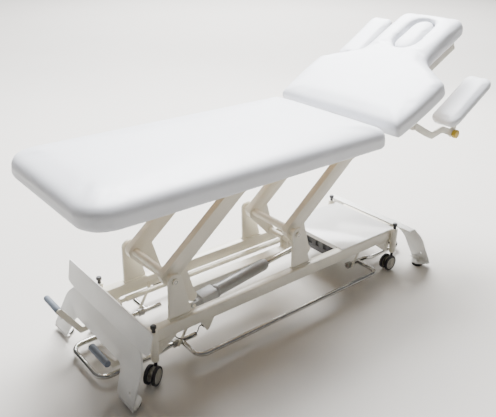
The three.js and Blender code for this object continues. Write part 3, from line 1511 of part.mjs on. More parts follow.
const armTurn = -lift.angle * degrees;
table.add(
  placed(lift.footX, 0, lift.pivotZ, armTurn, mesh("foot_arms", liftArm(false), "paint")),
  placed(lift.headX, 0, lift.pivotZ, armTurn, mesh("head_arms", liftArm(true), "paint")),
  placed(
    actuator.baseX, actuator.y, actuator.baseZ, actuatorPlace().turn,
    mesh("actuator_motor", actuatorMotor(), "greyPlastic"),
    mesh("actuator_tube", actuatorTube(), "tubeGrey"),
    mesh("actuator_rod", actuatorRod(), "chrome"),
  ),
  placed(
    head.seamX, 0, head.seamZ, -head.tilt * degrees,
    mesh("head_frame", headFramePiece(), "paint"),
    mesh("head_board", headBoard(), "wood"),
    mesh("head_cushion", headCushion(), "vinyl"),
    mesh("face_plug", facePlug(), "vinyl"),
  ),
  placed(
    spring.baseX, spring.y, spring.baseZ, springPlace().turn,
    mesh("gas_spring_cylinder", springCylinder(), "darkPlastic"),
    mesh("gas_spring_rod", springRod(), "chrome"),
  ),
);

for (const { name, side, swing, tilt } of armrestPoses) {
  const swung = swing * degrees;
  const elbowX = armrest.pivotX + armrest.length * Math.cos(swung);
  const elbowZ = armrest.pivotZ + armrest.length * Math.sin(swung);
  table.add(
    placed(armrest.pivotX, 0, armrest.pivotZ, -swung, mesh(`armrest_${name}_arm`, armrestLink(side),
      "paint")),
    placed(
      elbowX, 0, elbowZ, -tilt * degrees,
      mesh(`armrest_${name}_pad_plate`, padPlate(side), "paint"),
      mesh(`armrest_${name}_pad`, padCushion(side), "vinyl"),
      mesh(`armrest_${name}_knob`, armrestKnob(side), "ochre"),
    ),
  );
}

// The origin is the middle of the table's footprint, on the floor
const reach = new THREE.Box3().setFromObject(table, true);
table.position.x = -(reach.min.x + reach.max.x) / 2;
table.position.y = -(reach.min.y + reach.max.y) / 2;

export default table;
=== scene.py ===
"""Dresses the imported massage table: cushions, chrome foot ring, castors, grips and finishes."""
import json
import math

import bpy
from bpy.props import FloatProperty, FloatVectorProperty, IntProperty, PointerProperty
from mathutils import Matrix, Vector


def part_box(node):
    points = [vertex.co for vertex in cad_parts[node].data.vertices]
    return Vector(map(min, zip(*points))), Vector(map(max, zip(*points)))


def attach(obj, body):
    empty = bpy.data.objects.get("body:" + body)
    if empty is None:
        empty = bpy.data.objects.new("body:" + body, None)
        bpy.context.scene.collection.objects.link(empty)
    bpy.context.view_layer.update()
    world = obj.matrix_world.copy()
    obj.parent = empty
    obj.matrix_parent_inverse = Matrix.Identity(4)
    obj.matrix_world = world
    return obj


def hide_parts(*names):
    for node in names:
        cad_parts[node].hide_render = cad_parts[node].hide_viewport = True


bl_info = {
    "name": "Massage table",
    "version": (1, 0, 0),
    "blender": (4, 5, 0),
    "location": "View3D > Sidebar > Massage table",
    "description": "Dresses the packed massage table with its padding, tubes, castors and finishes",
    "category": "Object",
}

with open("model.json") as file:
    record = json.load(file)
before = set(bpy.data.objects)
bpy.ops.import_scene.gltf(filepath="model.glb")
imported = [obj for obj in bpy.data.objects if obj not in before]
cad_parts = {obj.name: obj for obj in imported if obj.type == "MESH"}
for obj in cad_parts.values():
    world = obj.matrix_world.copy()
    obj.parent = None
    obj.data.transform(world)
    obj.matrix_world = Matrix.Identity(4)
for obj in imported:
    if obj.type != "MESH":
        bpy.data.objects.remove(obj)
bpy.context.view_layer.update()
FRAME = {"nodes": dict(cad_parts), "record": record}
NODES = FRAME["nodes"]
RECORD = FRAME["record"]
JOINTS = {joint["name"]: joint for joint in RECORD["behaviour"]["joints"]}
BODY_OF = {node: body for body, nodes in RECORD["behaviour"]["bodies"].items() for node in nodes}
SLOT_OF = {part["node"]: part["material_slot"] for part in RECORD["subparts"]}

CORNERS = ("near_foot", "far_foot", "near_head", "far_head")
SIDES = (("near", -1), ("far", 1))
HALF_TURN = Matrix.Rotation(math.pi, 4, "Z")
MILLIMETRE = 0.001
# The model's middle lies this far from the middle of its base, in millimetres
SHIFT_X = -75.04

# Nodes that the operators below model anew, besides the padded ones
REMODELLED = {"switch_lead", "foot_bar", "pedal_grip_near", "pedal_grip_far",
              *(f"castor_wheels_{corner}" for corner in CORNERS)}

# Points closer than this are one, and faces that meet flatter than this are one face
MERGE_DISTANCE = 0.00001
FLAT_ANGLE = math.radians(0.6)
# Edges sharper than this are bevelled, on the pieces that keep their CAD shape
BEVEL_ANGLE = math.radians(42)
# Edges flatter than this are shaded smooth, on each kind of piece made anew
SMOOTH = {"ring": math.radians(50), "clamp": math.radians(38), "wheel": math.radians(40),
          "grip": math.radians(50), "bolt": math.radians(35)}
# How far a turned piece's last ring may lie from its place and from its radius
PLACE_TOLERANCE = 0.000001
RADIUS_TOLERANCE = 0.00001

# Lead from its grommet under the near rail to the ring's near switch, in metres before the shift
LEAD_ROUTE = (
    (-0.556, -0.166, 0.1414), (-0.545, -0.169, 0.137), (-0.534, -0.173, 0.118),
    (-0.508, -0.176, 0.100), (-0.470, -0.176, 0.093), (-0.444, -0.173, 0.102),
    (-0.434, -0.170, 0.118), (-0.427, -0.170, 0.121), (-0.4207, -0.170, 0.1212),
)
LEAD_DIAMETER = 0.0044
LEAD_STEPS = 3

# Centre lines of the foot ring in millimetres before the shift: x, y, z and bend radius
RING_LOOP = (
    (420, -128, 55, 0), (545, -128, 55, 30), (600, -116, 32, 30), (816, -116, 32, 45),
    (816, 116, 32, 45), (600, 116, 32, 30), (545, 128, 55, 30), (420, 128, 55, 0),
)
RING_SIDE = ((-488, 123, 55, 0), (-488, 248, 55, 40), (488, 248, 55, 40), (488, 123, 55, 0))
# The ring's tube stays just inside the solid's many-sided bar
RING_RADIUS = 0.0097
# Bends are cut into steps of about this many degrees, and no fewer than this many steps
BEND_STEP = 7.5
LEAST_BEND_STEPS = 3

# Clamps on the ring, in millimetres before the shift
CLAMP_PLACES = ((-512, 128, 55), (430, 128, 55), (-512, -128, 55), (430, -128, 55))

# Profiles of turned pieces: radius and place along the axis, in millimetres
CLAMP_PROFILE = (
    (10.2, -12), (14.2, -12), (15, -11), (15, -4), (14.2, -3), (14.2, 3), (15, 4), (15, 11),
    (14.2, 12), (10.2, 12),
)
TREAD_PROFILE = (
    (26.5, 9.2), (33.0, 8.7), (35.2, 9.8), (36.0, 12.0), (36.0, 18.2), (35.2, 20.4), (33.0, 21.5),
    (29.2, 21.5), (28.2, 20.6), (26.5, 20.4),
)
DISC_PROFILE = (
    (4.5, 8.7), (20.0, 8.7), (26.8, 9.4), (28.0, 20.4), (26.6, 21.2), (25.0, 20.8), (23.6, 19.6),
    (11.0, 18.6), (9.4, 19.4), (8.8, 21.0), (7.6, 21.6), (0.4, 21.6),
)
AXLE_PROFILE = ((3.8, -9.0), (3.8, 0.0), (3.8, 9.0))
AXLE_SIDES = 20
BOLT_PROFILE = (
    (0.4, -4.6), (4.4, -4.6), (4.4, -7.6), (7.4, -7.6), (8.2, -6.8), (8.2, -1.8), (11.6, -1.8),
    (12.2, -1.2), (12.2, 0.0), (0.4, 0.0),
)
BOLT_SIDES = 32
# A grip's collar, then its slow taper, then its end, whose places are counted back from the tip
GRIP_COLLAR = ((7.3, 1.0), (12.2, 0.0), (13.0, 1.0), (13.0, 4.0), (12.4, 5.2), (12.8, 6.4))
GRIP_TAPER = 1.2
GRIP_RINGS = 10
GRIP_ENDS = 14
GRIP_TIP = ((11.2, 4.0), (10.0, 1.6), (7.6, 0.3), (0.4, 0.0))

# Outer faces of the lugs that carry the lift's arms, from the middle plane
LUG_FACE = 0.1665

# Each padded node's piece, and how many rounds of smoothing ease its upper edge
PADDED = {
    "body_cushion": ("body_padding", 26),
    "head_cushion": ("head_padding", 24),
    "face_plug": ("plug_padding", 6),
    "armrest_near_pad": ("armrest_near_padding", 22),
    "armrest_far_pad": ("armrest_far_padding", 22),
}
# Faces whose normal rises more than this belong to a cushion's top, and those whose normal
# drops more than this to its underside
TOP_RISE = 0.3
UNDERSIDE_DROP = 0.25
# Easing grows from the underside to the top: its gain, its start and its least
EASE_GAIN = 1.4
EASE_START = 0.2
EASE_LEAST = 0.04
# Round the face plug's slot, a rim this wide is eased by this share only
SLOT_RIM = 0.012
SLOT_RIM_SHARE = 0.15
# The head cushion swells this many times as much as a small pad
HEAD_SWELL_SHARE = 1.4
CLOTH_QUALITY = 4
# Smoothing of the cover once it has swollen
SETTLE_ROUNDS = 8
SETTLE_FACTOR = 0.4

# Studio lights: name, place, aim, size in metres, power in watts and colour
LIGHTS = (
    ("ceiling_light", (1.1, 1.9, 4.6), (0.0, 0.0, 0.4), 2.6, 1100.0, (0.97, 0.985, 1.0)),
    ("rear_light", (3.4, 1.8, 1.6), (0.3, 0.0, 0.5), 1.4, 45.0, (1.0, 0.99, 0.97)),
    ("backdrop_light", (5.6, 6.9, 6.5), (5.6, 6.9, 0.0), 6.0, 3200.0, (0.98, 0.99, 1.0)),
)
FLOOR_SIZE = 60.0
FLOOR_TONES = ((0.60, 0.575, 0.54, 1.0), (0.62, 0.595, 0.56, 1.0))
SKY_TONES = ((0.16, 0.145, 0.13, 1.0), (1.0, 1.0, 1.0, 1.0))
SKY_STRENGTH = 0.25
SENSOR_WIDTH = 36.0


class CushionSettings(bpy.types.PropertyGroup):
    """How the cushions are padded"""
    body_cell: FloatProperty(
        name="Body cell", description="Cell size of the body cushion's cloth",
        default=0.0105, unit="LENGTH")
    head_cell: FloatProperty(
        name="Head cell", description="Cell size of the head cushion's cloth",
        default=0.008, unit="LENGTH")
    pad_cell: FloatProperty(
        name="Pad cell", description="Cell size on the armrest pads and the plug",
        default=0.0048, unit="LENGTH")
    body_swell: FloatProperty(
        name="Body swell", description="Most that the body cushion stands proud",
        default=0.006, unit="LENGTH")
    pad_swell: FloatProperty(
        name="Pad swell", description="Most that a small pad stands proud",
        default=0.0025, unit="LENGTH")
    pressure: FloatProperty(
        name="Pressure", description="Pressure of the foam under its cover", default=4.0)
    frames: IntProperty(name="Frames", description="Frames of cloth simulation", default=20)


class FinishSettings(bpy.types.PropertyGroup):
    """Colours of the finishes"""
    vinyl: FloatVectorProperty(
        name="Vinyl", description="Cushion cover", subtype="COLOR", size=4,
        default=(0.83, 0.84, 0.88, 1.0), min=0, max=1)
    cream: FloatVectorProperty(
        name="Cream paint", description="Frame paint", subtype="COLOR", size=4,
        default=(0.80, 0.76, 0.65, 1.0), min=0, max=1)
    panel: FloatVectorProperty(
        name="Panel paint", description="End panel paint", subtype="COLOR", size=4,
        default=(0.78, 0.78, 0.755, 1.0), min=0, max=1)
    grip: FloatVectorProperty(
        name="Grip rubber", description="Pedal grips", subtype="COLOR", size=4,
        default=(0.15, 0.175, 0.215, 1.0), min=0, max=1)
    ochre: FloatVectorProperty(
        name="Ochre", description="Armrest knobs", subtype="COLOR", size=4,
        default=(0.74, 0.50, 0.05, 1.0), min=0, max=1)


class EdgeSettings(bpy.types.PropertyGroup):
    """How edges and round work are finished"""
    bevel: FloatProperty(
        name="Edge bevel", description="Softening of the steel's edges",
        default=0.0009, unit="LENGTH")
    smooth_angle: FloatProperty(
        name="Smooth angle", description="Edges flatter than this are smoothed",
        default=math.radians(38), subtype="ANGLE")
    turned_sides: IntProperty(
        name="Turned sides", description="Sides of the turned wheels, clamps and grips",
        default=48)


class StageSettings(bpy.types.PropertyGroup):
    """Where the camera stands"""
    place: FloatVectorProperty(
        name="Place", description="Camera place", subtype="XYZ", unit="LENGTH",
        default=(-1.57835, -1.75384, 1.48792))
    heading: FloatProperty(
        name="Heading", description="Camera heading, from the far side towards the head",
        default=math.radians(39.31), subtype="ANGLE")
    pitch: FloatProperty(
        name="Pitch", description="Camera pitch", default=math.radians(-24.93), subtype="ANGLE")
    roll: FloatProperty(
        name="Roll", description="Camera roll", default=math.radians(0.74), subtype="ANGLE")
    lens: FloatProperty(
        name="Lens", description="Focal length on a 36 mm sensor", default=45.12)


# Selection and modelling

def activate(piece):
    """Select this piece alone."""
    bpy.ops.object.select_all(action="DESELECT")
    piece.select_set(True)
    bpy.context.view_layer.objects.active = piece


def apply_modifiers(piece):
    activate(piece)
    for modifier in list(piece.modifiers):
        bpy.ops.object.modifier_apply(modifier=modifier.name)


def linked(name, data):
    """A new object that holds this data, in the scene."""
    piece = bpy.data.objects.new(name, data)
    bpy.context.scene.collection.objects.link(piece)
    return piece


def seal(flat_angle=None):
    """In edit mode: merge doubles, join flat faces, turn every face outwards and leave."""
    bpy.ops.mesh.select_all(action="SELECT")
    bpy.ops.mesh.remove_doubles(threshold=MERGE_DISTANCE)
    if flat_angle:
        bpy.ops.mesh.dissolve_limited(angle_limit=flat_angle)
    bpy.ops.mesh.normals_make_consistent(inside=False)
    bpy.ops.object.mode_set(mode="OBJECT")


def merged_copy(node, name):
    """A copy of a CAD node's mesh as one clean surface."""
    piece = linked(name, NODES[node].data.copy())
    activate(piece)
    bpy.ops.object.mode_set(mode="EDIT")
    seal(FLAT_ANGLE)
    return piece


def placed_copy(template, name, place):
    """A copy of a template with a mesh of its own, put in its place."""
    piece = linked(name, template.data.copy())
    piece.data.transform(place)
    return piece


def smooth_by_angle(piece, angle):
    activate(piece)
    bpy.ops.object.shade_smooth_by_angle(angle=angle)


def soften(piece, width):
    """Round every edge sharper than the bevel's angle."""
    edge = piece.modifiers.new("edge", "BEVEL")
    edge.width = width
    edge.segments = 2
    edge.limit_method = "ANGLE"
    edge.angle_limit = BEVEL_ANGLE
    apply_modifiers(piece)


def joined(name, *pieces):
    activate(pieces[0])
    for piece in pieces[1:]:
        piece.select_set(True)
    bpy.ops.object.join()
    pieces[0].name = name
    return pieces[0]


def discard(*pieces):
    for piece in pieces:
        bpy.data.objects.remove(piece, do_unlink=True)


def turned(name, profile, sides, closed=False):
    """A piece turned about Y, from (radius, place) in millimetres, ring by ring.

    A closed profile ends on its first ring; an open one gets a face at either end."""
    radius, along = profile[0]
    bpy.ops.object.select_all(action="DESELECT")
    bpy.ops.mesh.primitive_circle_add(vertices=sides, radius=radius * MILLIMETRE,
                                      location=(0, 0, 0), rotation=(math.pi / 2, 0, 0))
    piece = bpy.context.active_object
    piece.name = name
    bpy.ops.object.transform_apply(location=True, rotation=True, scale=True)
    bpy.ops.object.mode_set(mode="EDIT")
    bpy.ops.mesh.select_all(action="SELECT")
    bpy.ops.transform.translate(value=(0, along * MILLIMETRE, 0))
    if not closed:
        bpy.ops.mesh.edge_face_add()
        bpy.ops.mesh.select_all(action="SELECT")
    steps = (*profile[1:], profile[0]) if closed else profile[1:]
    for index, (next_radius, next_along) in enumerate(steps):
        if closed or index:
            bpy.ops.mesh.extrude_edges_move()
        else:
            bpy.ops.mesh.extrude_region_move()
        share = next_radius / radius
        bpy.ops.transform.resize(value=(share, 1, share),
                                 center_override=(0, along * MILLIMETRE, 0))
        bpy.ops.transform.translate(value=(0, (next_along - along) * MILLIMETRE, 0))
        radius, along = next_radius, next_along
    if not closed:
        cap_ring(piece, radius * MILLIMETRE, along * MILLIMETRE)
    seal()
    return piece


def cap_ring(piece, radius, along):
    """In edit mode: close the ring of this radius at this place along Y, in metres."""
    bpy.ops.mesh.select_mode(type="VERT")
    bpy.ops.mesh.select_all(action="DESELECT")
    bpy.ops.object.mode_set(mode="OBJECT")
    for vertex in piece.data.vertices:
        x, y, z = vertex.co
        vertex.select = (abs(y - along) < PLACE_TOLERANCE
                         and abs(math.hypot(x, z) - radius) < RADIUS_TOLERANCE)
    bpy.ops.object.mode_set(mode="EDIT")
    bpy.ops.mesh.edge_face_add()


def shifted(x, y, z):
    """A place in metres from one in millimetres before the shift."""
    return Vector(((x + SHIFT_X) * MILLIMETRE, y * MILLIMETRE, z * MILLIMETRE))


def bent_line(corners):
    """A centre line with round bends, from corners x, y, z and bend radius in millimetres."""
    points = [Vector(corner[:3]) for corner in corners]
    line = []
    for index, (here, corner) in enumerate(zip(points, corners)):
        radius = corner[3]
        if not radius:
            line.append(here)
            continue
        back = (points[index - 1] - here).normalized()
        on = (points[index + 1] - here).normalized()
        half = back.angle(on) / 2
        centre = here + (back + on).normalized() * (radius / math.sin(half))
        start = here + back * (radius / math.tan(half)) - centre
        end = here + on * (radius / math.tan(half)) - centre
        steps = max(LEAST_BEND_STEPS, round(math.degrees(start.angle(end)) / BEND_STEP))
        for step in range(steps + 1):
            line.append(centre + start.slerp(end, step / steps) * radius)
    return line


def tube(name, line, radius, resolution=6):
    """A round tube along a line of points in metres, as a curve."""
    data = bpy.data.curves.new(name, "CURVE")
    data.dimensions = "3D"
    spline = data.splines.new("POLY")
    spline.points.add(len(line) - 1)
    for point, place in zip(spline.points, line):
        point.co = (*place, 1.0)
    data.bevel_depth = radius
    data.bevel_resolution = resolution
    data.use_fill_caps = True
    return linked(name, data)


def meshed(curve):
    """The curve's tube as a clean mesh."""
    activate(curve)
    bpy.ops.object.convert(target="MESH")
    piece = bpy.context.active_object
    bpy.ops.object.mode_set(mode="EDIT")
    seal()
    return piece


def finish_piece(piece, body, material, slot, *nodes):
    """Give a piece its material and its body, and hide the nodes that it stands for; the slot is
    not used.
    """
    if not MATERIALS:
        make_materials(bpy.context.scene.massage_finishes)
    piece.data.materials.clear()
    piece.data.materials.append(MATERIALS[material])
    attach(piece, body)
    if nodes:
        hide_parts(*nodes)


# Materials

MATERIALS = {}


def shader(name):
    material = bpy.data.materials.new(name)
    material.use_nodes = True
    tree = material.node_tree
    return material, tree, tree.nodes["Principled BSDF"]


def object_coordinates(tree, scale=(1.0, 1.0, 1.0)):
    mapping = tree.nodes.new("ShaderNodeMapping")
    mapping.inputs["Scale"].default_value = scale
    place = tree.nodes.new("ShaderNodeTexCoord").outputs["Object"]
    tree.links.new(place, mapping.inputs["Vector"])
    return mapping.outputs["Vector"]


def noise(tree, vector, scale, detail=4.0, roughness=0.5):
    node = tree.nodes.new("ShaderNodeTexNoise")
    node.inputs["Scale"].default_value = scale
    node.inputs["Detail"].default_value = detail
    node.inputs["Roughness"].default_value = roughness
    tree.links.new(vector, node.inputs["Vector"])
    return node.outputs["Fac"]


def ramp(tree, factor, low, high, low_at=0.3, high_at=0.7):
    node = tree.nodes.new("ShaderNodeValToRGB")
    first, last = node.color_ramp.elements
    first.position, first.color = low_at, low
    last.position, last.color = high_at, high
    tree.links.new(factor, node.inputs["Fac"])
    return node.outputs["Color"]


def span(tree, factor, low, high):
    node = tree.nodes.new("ShaderNodeMapRange")
    node.inputs["To Min"].default_value = low
    node.inputs["To Max"].default_value = high
    tree.links.new(factor, node.inputs["Value"])
    return node.outputs["Result"]


def bump(tree, bsdf, height, strength, distance):
    node = tree.nodes.new("ShaderNodeBump")
    node.inputs["Strength"].default_value = strength
    node.inputs["Distance"].default_value = distance
    tree.links.new(height, node.inputs["Height"])
    tree.links.new(node.outputs["Normal"], bsdf.inputs["Normal"])


def painted_edge_highlight(tree, colour, highlight_colour, strength):
    """Paint the most convex edges lighter than the coat: a painted highlight."""
    pointed = tree.nodes.new("ShaderNodeNewGeometry").outputs["Pointiness"]
    edge = ramp(tree, pointed, (0, 0, 0, 1), (strength, strength, strength, 1),
                low_at=0.52, high_at=0.62)
    mix = tree.nodes.new("ShaderNodeMix")
    mix.data_type = "RGBA"
    tree.links.new(edge, mix.inputs["Factor"])
    tree.links.new(colour, mix.inputs["A"])
    mix.inputs["B"].default_value = highlight_colour
    return mix.outputs["Result"]


def shade(colour, factor):
    return (colour[0] * factor, colour[1] * factor, colour[2] * factor, 1.0)


def vinyl(colour):
    """Satin vinyl: fine pebbled grain, faint mottling and a soft coat."""
    material, tree, bsdf = shader("white_vinyl")
    place = object_coordinates(tree)
    mottle = noise(tree, place, scale=6.0, detail=3.0)
    cover = ramp(tree, mottle, shade(colour, 0.96), tuple(colour))
    tree.links.new(cover, bsdf.inputs["Base Color"])
    pebble = tree.nodes.new("ShaderNodeTexVoronoi")
    pebble.feature = "DISTANCE_TO_EDGE"
    pebble.inputs["Scale"].default_value = 560.0
    tree.links.new(place, pebble.inputs["Vector"])
    bump(tree, bsdf, pebble.outputs["Distance"], strength=0.14, distance=0.0006)
    gloss = span(tree, noise(tree, place, scale=40.0), low=0.36, high=0.5)
    tree.links.new(gloss, bsdf.inputs["Roughness"])
    bsdf.inputs["Coat Weight"].default_value = 0.1
    bsdf.inputs["Coat Roughness"].default_value = 0.38
    bsdf.inputs["Sheen Weight"].default_value = 0.05
    return material


def powder_coat(name, colour, roughness=0.38, edge_highlight=0.12):
    """Powder coat: orange-peel skin, slight unevenness of shade and a painted highlight on the most
    convex edges.
    """
    material, tree, bsdf = shader(name)
    place = object_coordinates(tree)
    tone = noise(tree, place, scale=9.0)
    coat = ramp(tree, tone, shade(colour, 0.93), tuple(colour))
    # The most convex edges are painted lighter, a painted highlight standing in for light on them
    highlighted_coat = painted_edge_highlight(tree, coat, shade(colour, 1.15), edge_highlight)
    tree.links.new(highlighted_coat, bsdf.inputs["Base Color"])
    peel = noise(tree, place, scale=700.0, detail=2.0)
    bump(tree, bsdf, peel, strength=0.09, distance=0.0004)
    gloss = span(tree, noise(tree, place, scale=50.0), roughness - 0.05, roughness + 0.08)
    tree.links.new(gloss, bsdf.inputs["Roughness"])
    bsdf.inputs["Coat Weight"].default_value = 0.12
    bsdf.inputs["Coat Roughness"].default_value = 0.22
    return material


def bright_metal(name, colour, roughness):
    """Bright metal with fine wiping marks."""
    material, tree, bsdf = shader(name)
    marks = noise(tree, object_coordinates(tree, (1.0, 1.0, 6.0)), scale=80.0, detail=5.0)
    tree.links.new(ramp(tree, marks, shade(colour, 0.88), tuple(colour)),
                   bsdf.inputs["Base Color"])
    gloss = span(tree, marks, roughness * 0.6, roughness * 1.6)
    tree.links.new(gloss, bsdf.inputs["Roughness"])
    bump(tree, bsdf, marks, strength=0.03, distance=0.0003)
    bsdf.inputs["Metallic"].default_value = 1.0
    return material


def moulded(name, colour, roughness, grain=500.0, strength=0.15):
    """Moulded plastic or rubber with a fine eroded grain."""
    material, tree, bsdf = shader(name)
    place = object_coordinates(tree)
    tone = noise(tree, place, scale=30.0, detail=3.0)
    tree.links.new(ramp(tree, tone, shade(colour, 0.8), tuple(colour)),
                   bsdf.inputs["Base Color"])
    bump(tree, bsdf, noise(tree, place, grain, detail=3.0), strength, distance=0.0005)
    gloss = span(tree, tone, roughness - 0.06, roughness + 0.06)
    tree.links.new(gloss, bsdf.inputs["Roughness"])
    return material


def birch_ply():
    """Birch ply: long grain with growth bands."""
    material, tree, bsdf = shader("birch_ply")
    place = object_coordinates(tree, (2.0, 26.0, 26.0))
    grain = noise(tree, place, scale=4.0, detail=8.0, roughness=0.6)
    tree.links.new(ramp(tree, grain, (0.34, 0.22, 0.12, 1.0), (0.60, 0.45, 0.27, 1.0)),
                   bsdf.inputs["Base Color"])
    bump(tree, bsdf, grain, strength=0.2, distance=0.0005)
    tree.links.new(span(tree, grain, low=0.55, high=0.7), bsdf.inputs["Roughness"])
    return material


def make_materials(finishes):
    """One material for each of the record's slots, and for zinc plate and the castors' discs."""
    MATERIALS.update(
        vinyl_padding=vinyl(finishes.vinyl),
        cream_paint=powder_coat("cream_powder_coat", finishes.cream),
        panel_paint=powder_coat("panel_powder_coat", finishes.panel, roughness=0.44),
        # The gloss plate gets a fainter painted edge highlight
        gloss_plate=powder_coat("gloss_white_plate", (0.86, 0.86, 0.85, 1.0), roughness=0.16,
                                edge_highlight=0.05),
        chrome=bright_metal("polished_chrome", (0.52, 0.51, 0.49, 1.0), roughness=0.1),
        zinc=bright_metal("zinc_plate", (0.36, 0.36, 0.35, 1.0), roughness=0.32),
        grey_tube=powder_coat("grey_tube_paint", (0.30, 0.31, 0.33, 1.0), roughness=0.3),
        plywood=birch_ply(),
        rubber=moulded("black_foot_rubber", (0.02, 0.02, 0.022, 1.0), roughness=0.7),
        castor_tread=moulded("castor_tread_rubber", (0.012, 0.012, 0.016, 1.0), roughness=0.5),
        castor_disc=moulded("castor_disc_plastic", (0.40, 0.385, 0.33, 1.0), roughness=0.42,
                            grain=300.0, strength=0.08),
        grip_rubber=moulded("grip_rubber_grey", tuple(finishes.grip), roughness=0.62,
                            grain=260.0, strength=0.3),
        dark_plastic=moulded("dark_plastic", (0.03, 0.031, 0.035, 1.0), roughness=0.48),
        grey_plastic=moulded("grey_plastic", (0.40, 0.41, 0.43, 1.0), roughness=0.44),
        ochre_plastic=moulded("ochre_plastic", tuple(finishes.ochre), roughness=0.4),
    )


# Operators

class MASSAGE_OT_stage(bpy.types.Operator):
    """Set the camera, the pale floor and the soft studio lights"""
    bl_idname = "massage.stage"
    bl_label = "Stage, lights and camera"

    def execute(self, context):
        self.add_camera(context.scene.massage_stage)
        self.add_floor()
        self.add_sky()
        for name, place, aim, size, power, colour in LIGHTS:
            self.add_light(name, Vector(place), Vector(aim), size, power, colour)
        return {"FINISHED"}

    def add_camera(self, stage):
        heading, pitch, roll = stage.heading, stage.pitch, stage.roll
        forward = Vector((math.sin(heading) * math.cos(pitch),
                          math.cos(heading) * math.cos(pitch), math.sin(pitch)))
        level = Vector((math.cos(heading), -math.sin(heading), 0.0))
        rise = level.cross(forward)
        right = level * math.cos(roll) + rise * math.sin(roll)
        up = rise * math.cos(roll) - level * math.sin(roll)
        camera = linked("camera", bpy.data.cameras.new("camera"))
        camera.data.lens = stage.lens
        camera.data.sensor_width = SENSOR_WIDTH
        turn = Matrix((right, up, -forward)).transposed().to_4x4()
        camera.matrix_world = Matrix.Translation(Vector(stage.place)) @ turn
        bpy.context.scene.camera = camera

    def add_floor(self):
        bpy.ops.object.select_all(action="DESELECT")
        bpy.ops.mesh.primitive_plane_add(size=FLOOR_SIZE, location=(0.0, 0.0, 0.0))
        floor = bpy.context.active_object
        floor.name = "floor"
        material, tree, bsdf = shader("pale_floor")
        tone = noise(tree, object_coordinates(tree), scale=0.8)
        tree.links.new(ramp(tree, tone, *FLOOR_TONES), bsdf.inputs["Base Color"])
        bsdf.inputs["Roughness"].default_value = 0.95
        floor.data.materials.append(material)

    def add_sky(self):
        """A dim even sky, brighter overhead."""
        world = bpy.context.scene.world or bpy.data.worlds.new("studio")
        bpy.context.scene.world = world
        world.use_nodes = True
        tree = world.node_tree
        background = tree.nodes["Background"]
        place = tree.nodes.new("ShaderNodeTexCoord").outputs["Generated"]
        split = tree.nodes.new("ShaderNodeSeparateXYZ")
        tree.links.new(place, split.inputs["Vector"])
        colour = ramp(tree, split.outputs["Z"], *SKY_TONES, low_at=0.1, high_at=0.7)
        tree.links.new(colour, background.inputs["Color"])
        background.inputs["Strength"].default_value = SKY_STRENGTH

    def add_light(self, name, place, aim, size, power, colour):
        lamp = bpy.data.lights.new(name, "AREA")
        lamp.size = size
        lamp.energy = power
        lamp.color = colour
        light = linked(name, lamp)
        light.location = place
        light.rotation_euler = (aim - place).to_track_quat("-Z", "Y").to_euler()


class MASSAGE_OT_switch_lead(bpy.types.Operator):
    """Lay the short lead from the near rail to the ring's switch"""
    bl_idname = "massage.switch_lead"
    bl_label = "Switch lead"

    def execute(self, context):
        shift = Vector((SHIFT_X * MILLIMETRE, 0, 0))
        line = self.rounded([Vector(point) + shift for point in LEAD_ROUTE])
        lead = tube("switch_lead_cable", line, LEAD_DIAMETER / 2, resolution=3)
        finish_piece(lead, "base", "dark_plastic", "dark_plastic", "switch_lead")
        return {"FINISHED"}

    def rounded(self, points):
        """Points on a smooth curve through the route, each span in a few steps."""
        ends = [points[0] * 2 - points[1], *points, points[-1] * 2 - points[-2]]
        line = []
        for index in range(1, len(ends) - 2):
            a, b, c, d = ends[index - 1:index + 3]
            for step in range(LEAD_STEPS):
                t = step / LEAD_STEPS
                line.append(0.5 * (2 * b + (c - a) * t + (2 * a - 5 * b + 4 * c - d) * t ** 2
                                   + (3 * b - a - 3 * c + d) * t ** 3))
        return [*line, points[-1]]


class MASSAGE_OT_steelwork(bpy.types.Operator):
    """Finish the rigid CAD pieces: clean surfaces, softened edges and their paint"""
    bl_idname = "massage.steelwork"
    bl_label = "Steelwork and housings"

    def execute(self, context):
        edges = context.scene.massage_edges
        for node, slot in SLOT_OF.items():
            if node in PADDED or node in REMODELLED:
                continue
            piece = merged_copy(node, f"finished_{node}")
            soften(piece, edges.bevel)
            smooth_by_angle(piece, edges.smooth_angle)
            material = "castor_disc" if node.startswith("castor_hood") else slot
            finish_piece(piece, BODY_OF[node], material, slot, node)
        return {"FINISHED"}


class MASSAGE_OT_foot_ring(bpy.types.Operator):
    """Bend the chrome foot ring and close its four clamps round it"""
    bl_idname = "massage.foot_ring"
    bl_label = "Foot ring"

    def execute(self, context):
        tubes = []
        for turn in (1, -1):
            loop = [(turn * x, y, z, bend) for x, y, z, bend in RING_LOOP]
            side = [(x, turn * y, z, bend) for x, y, z, bend in RING_SIDE]
            for corners in (loop, side):
                line = [shifted(*point) for point in bent_line(corners)]
                tubes.append(meshed(tube("ring_tube", line, RING_RADIUS)))
        ring = joined("chrome_ring", *tubes)
        smooth_by_angle(ring, SMOOTH["ring"])
        finish_piece(ring, "foot_bar", "chrome", "chrome", "foot_bar")
        self.add_clamps(context.scene.massage_edges)
        return {"FINISHED"}

    def add_clamps(self, edges):
        template = turned("clamp", CLAMP_PROFILE, edges.turned_sides, closed=True)
        along_table = Matrix.Rotation(-math.pi / 2, 4, "Z")
        for number, place in enumerate(CLAMP_PLACES):
            clamp = placed_copy(template, f"ring_clamp_{number}",
                                Matrix.Translation(shifted(*place)) @ along_table)
            smooth_by_angle(clamp, SMOOTH["clamp"])
            finish_piece(clamp, "foot_bar", "zinc", "chrome")
        discard(template)


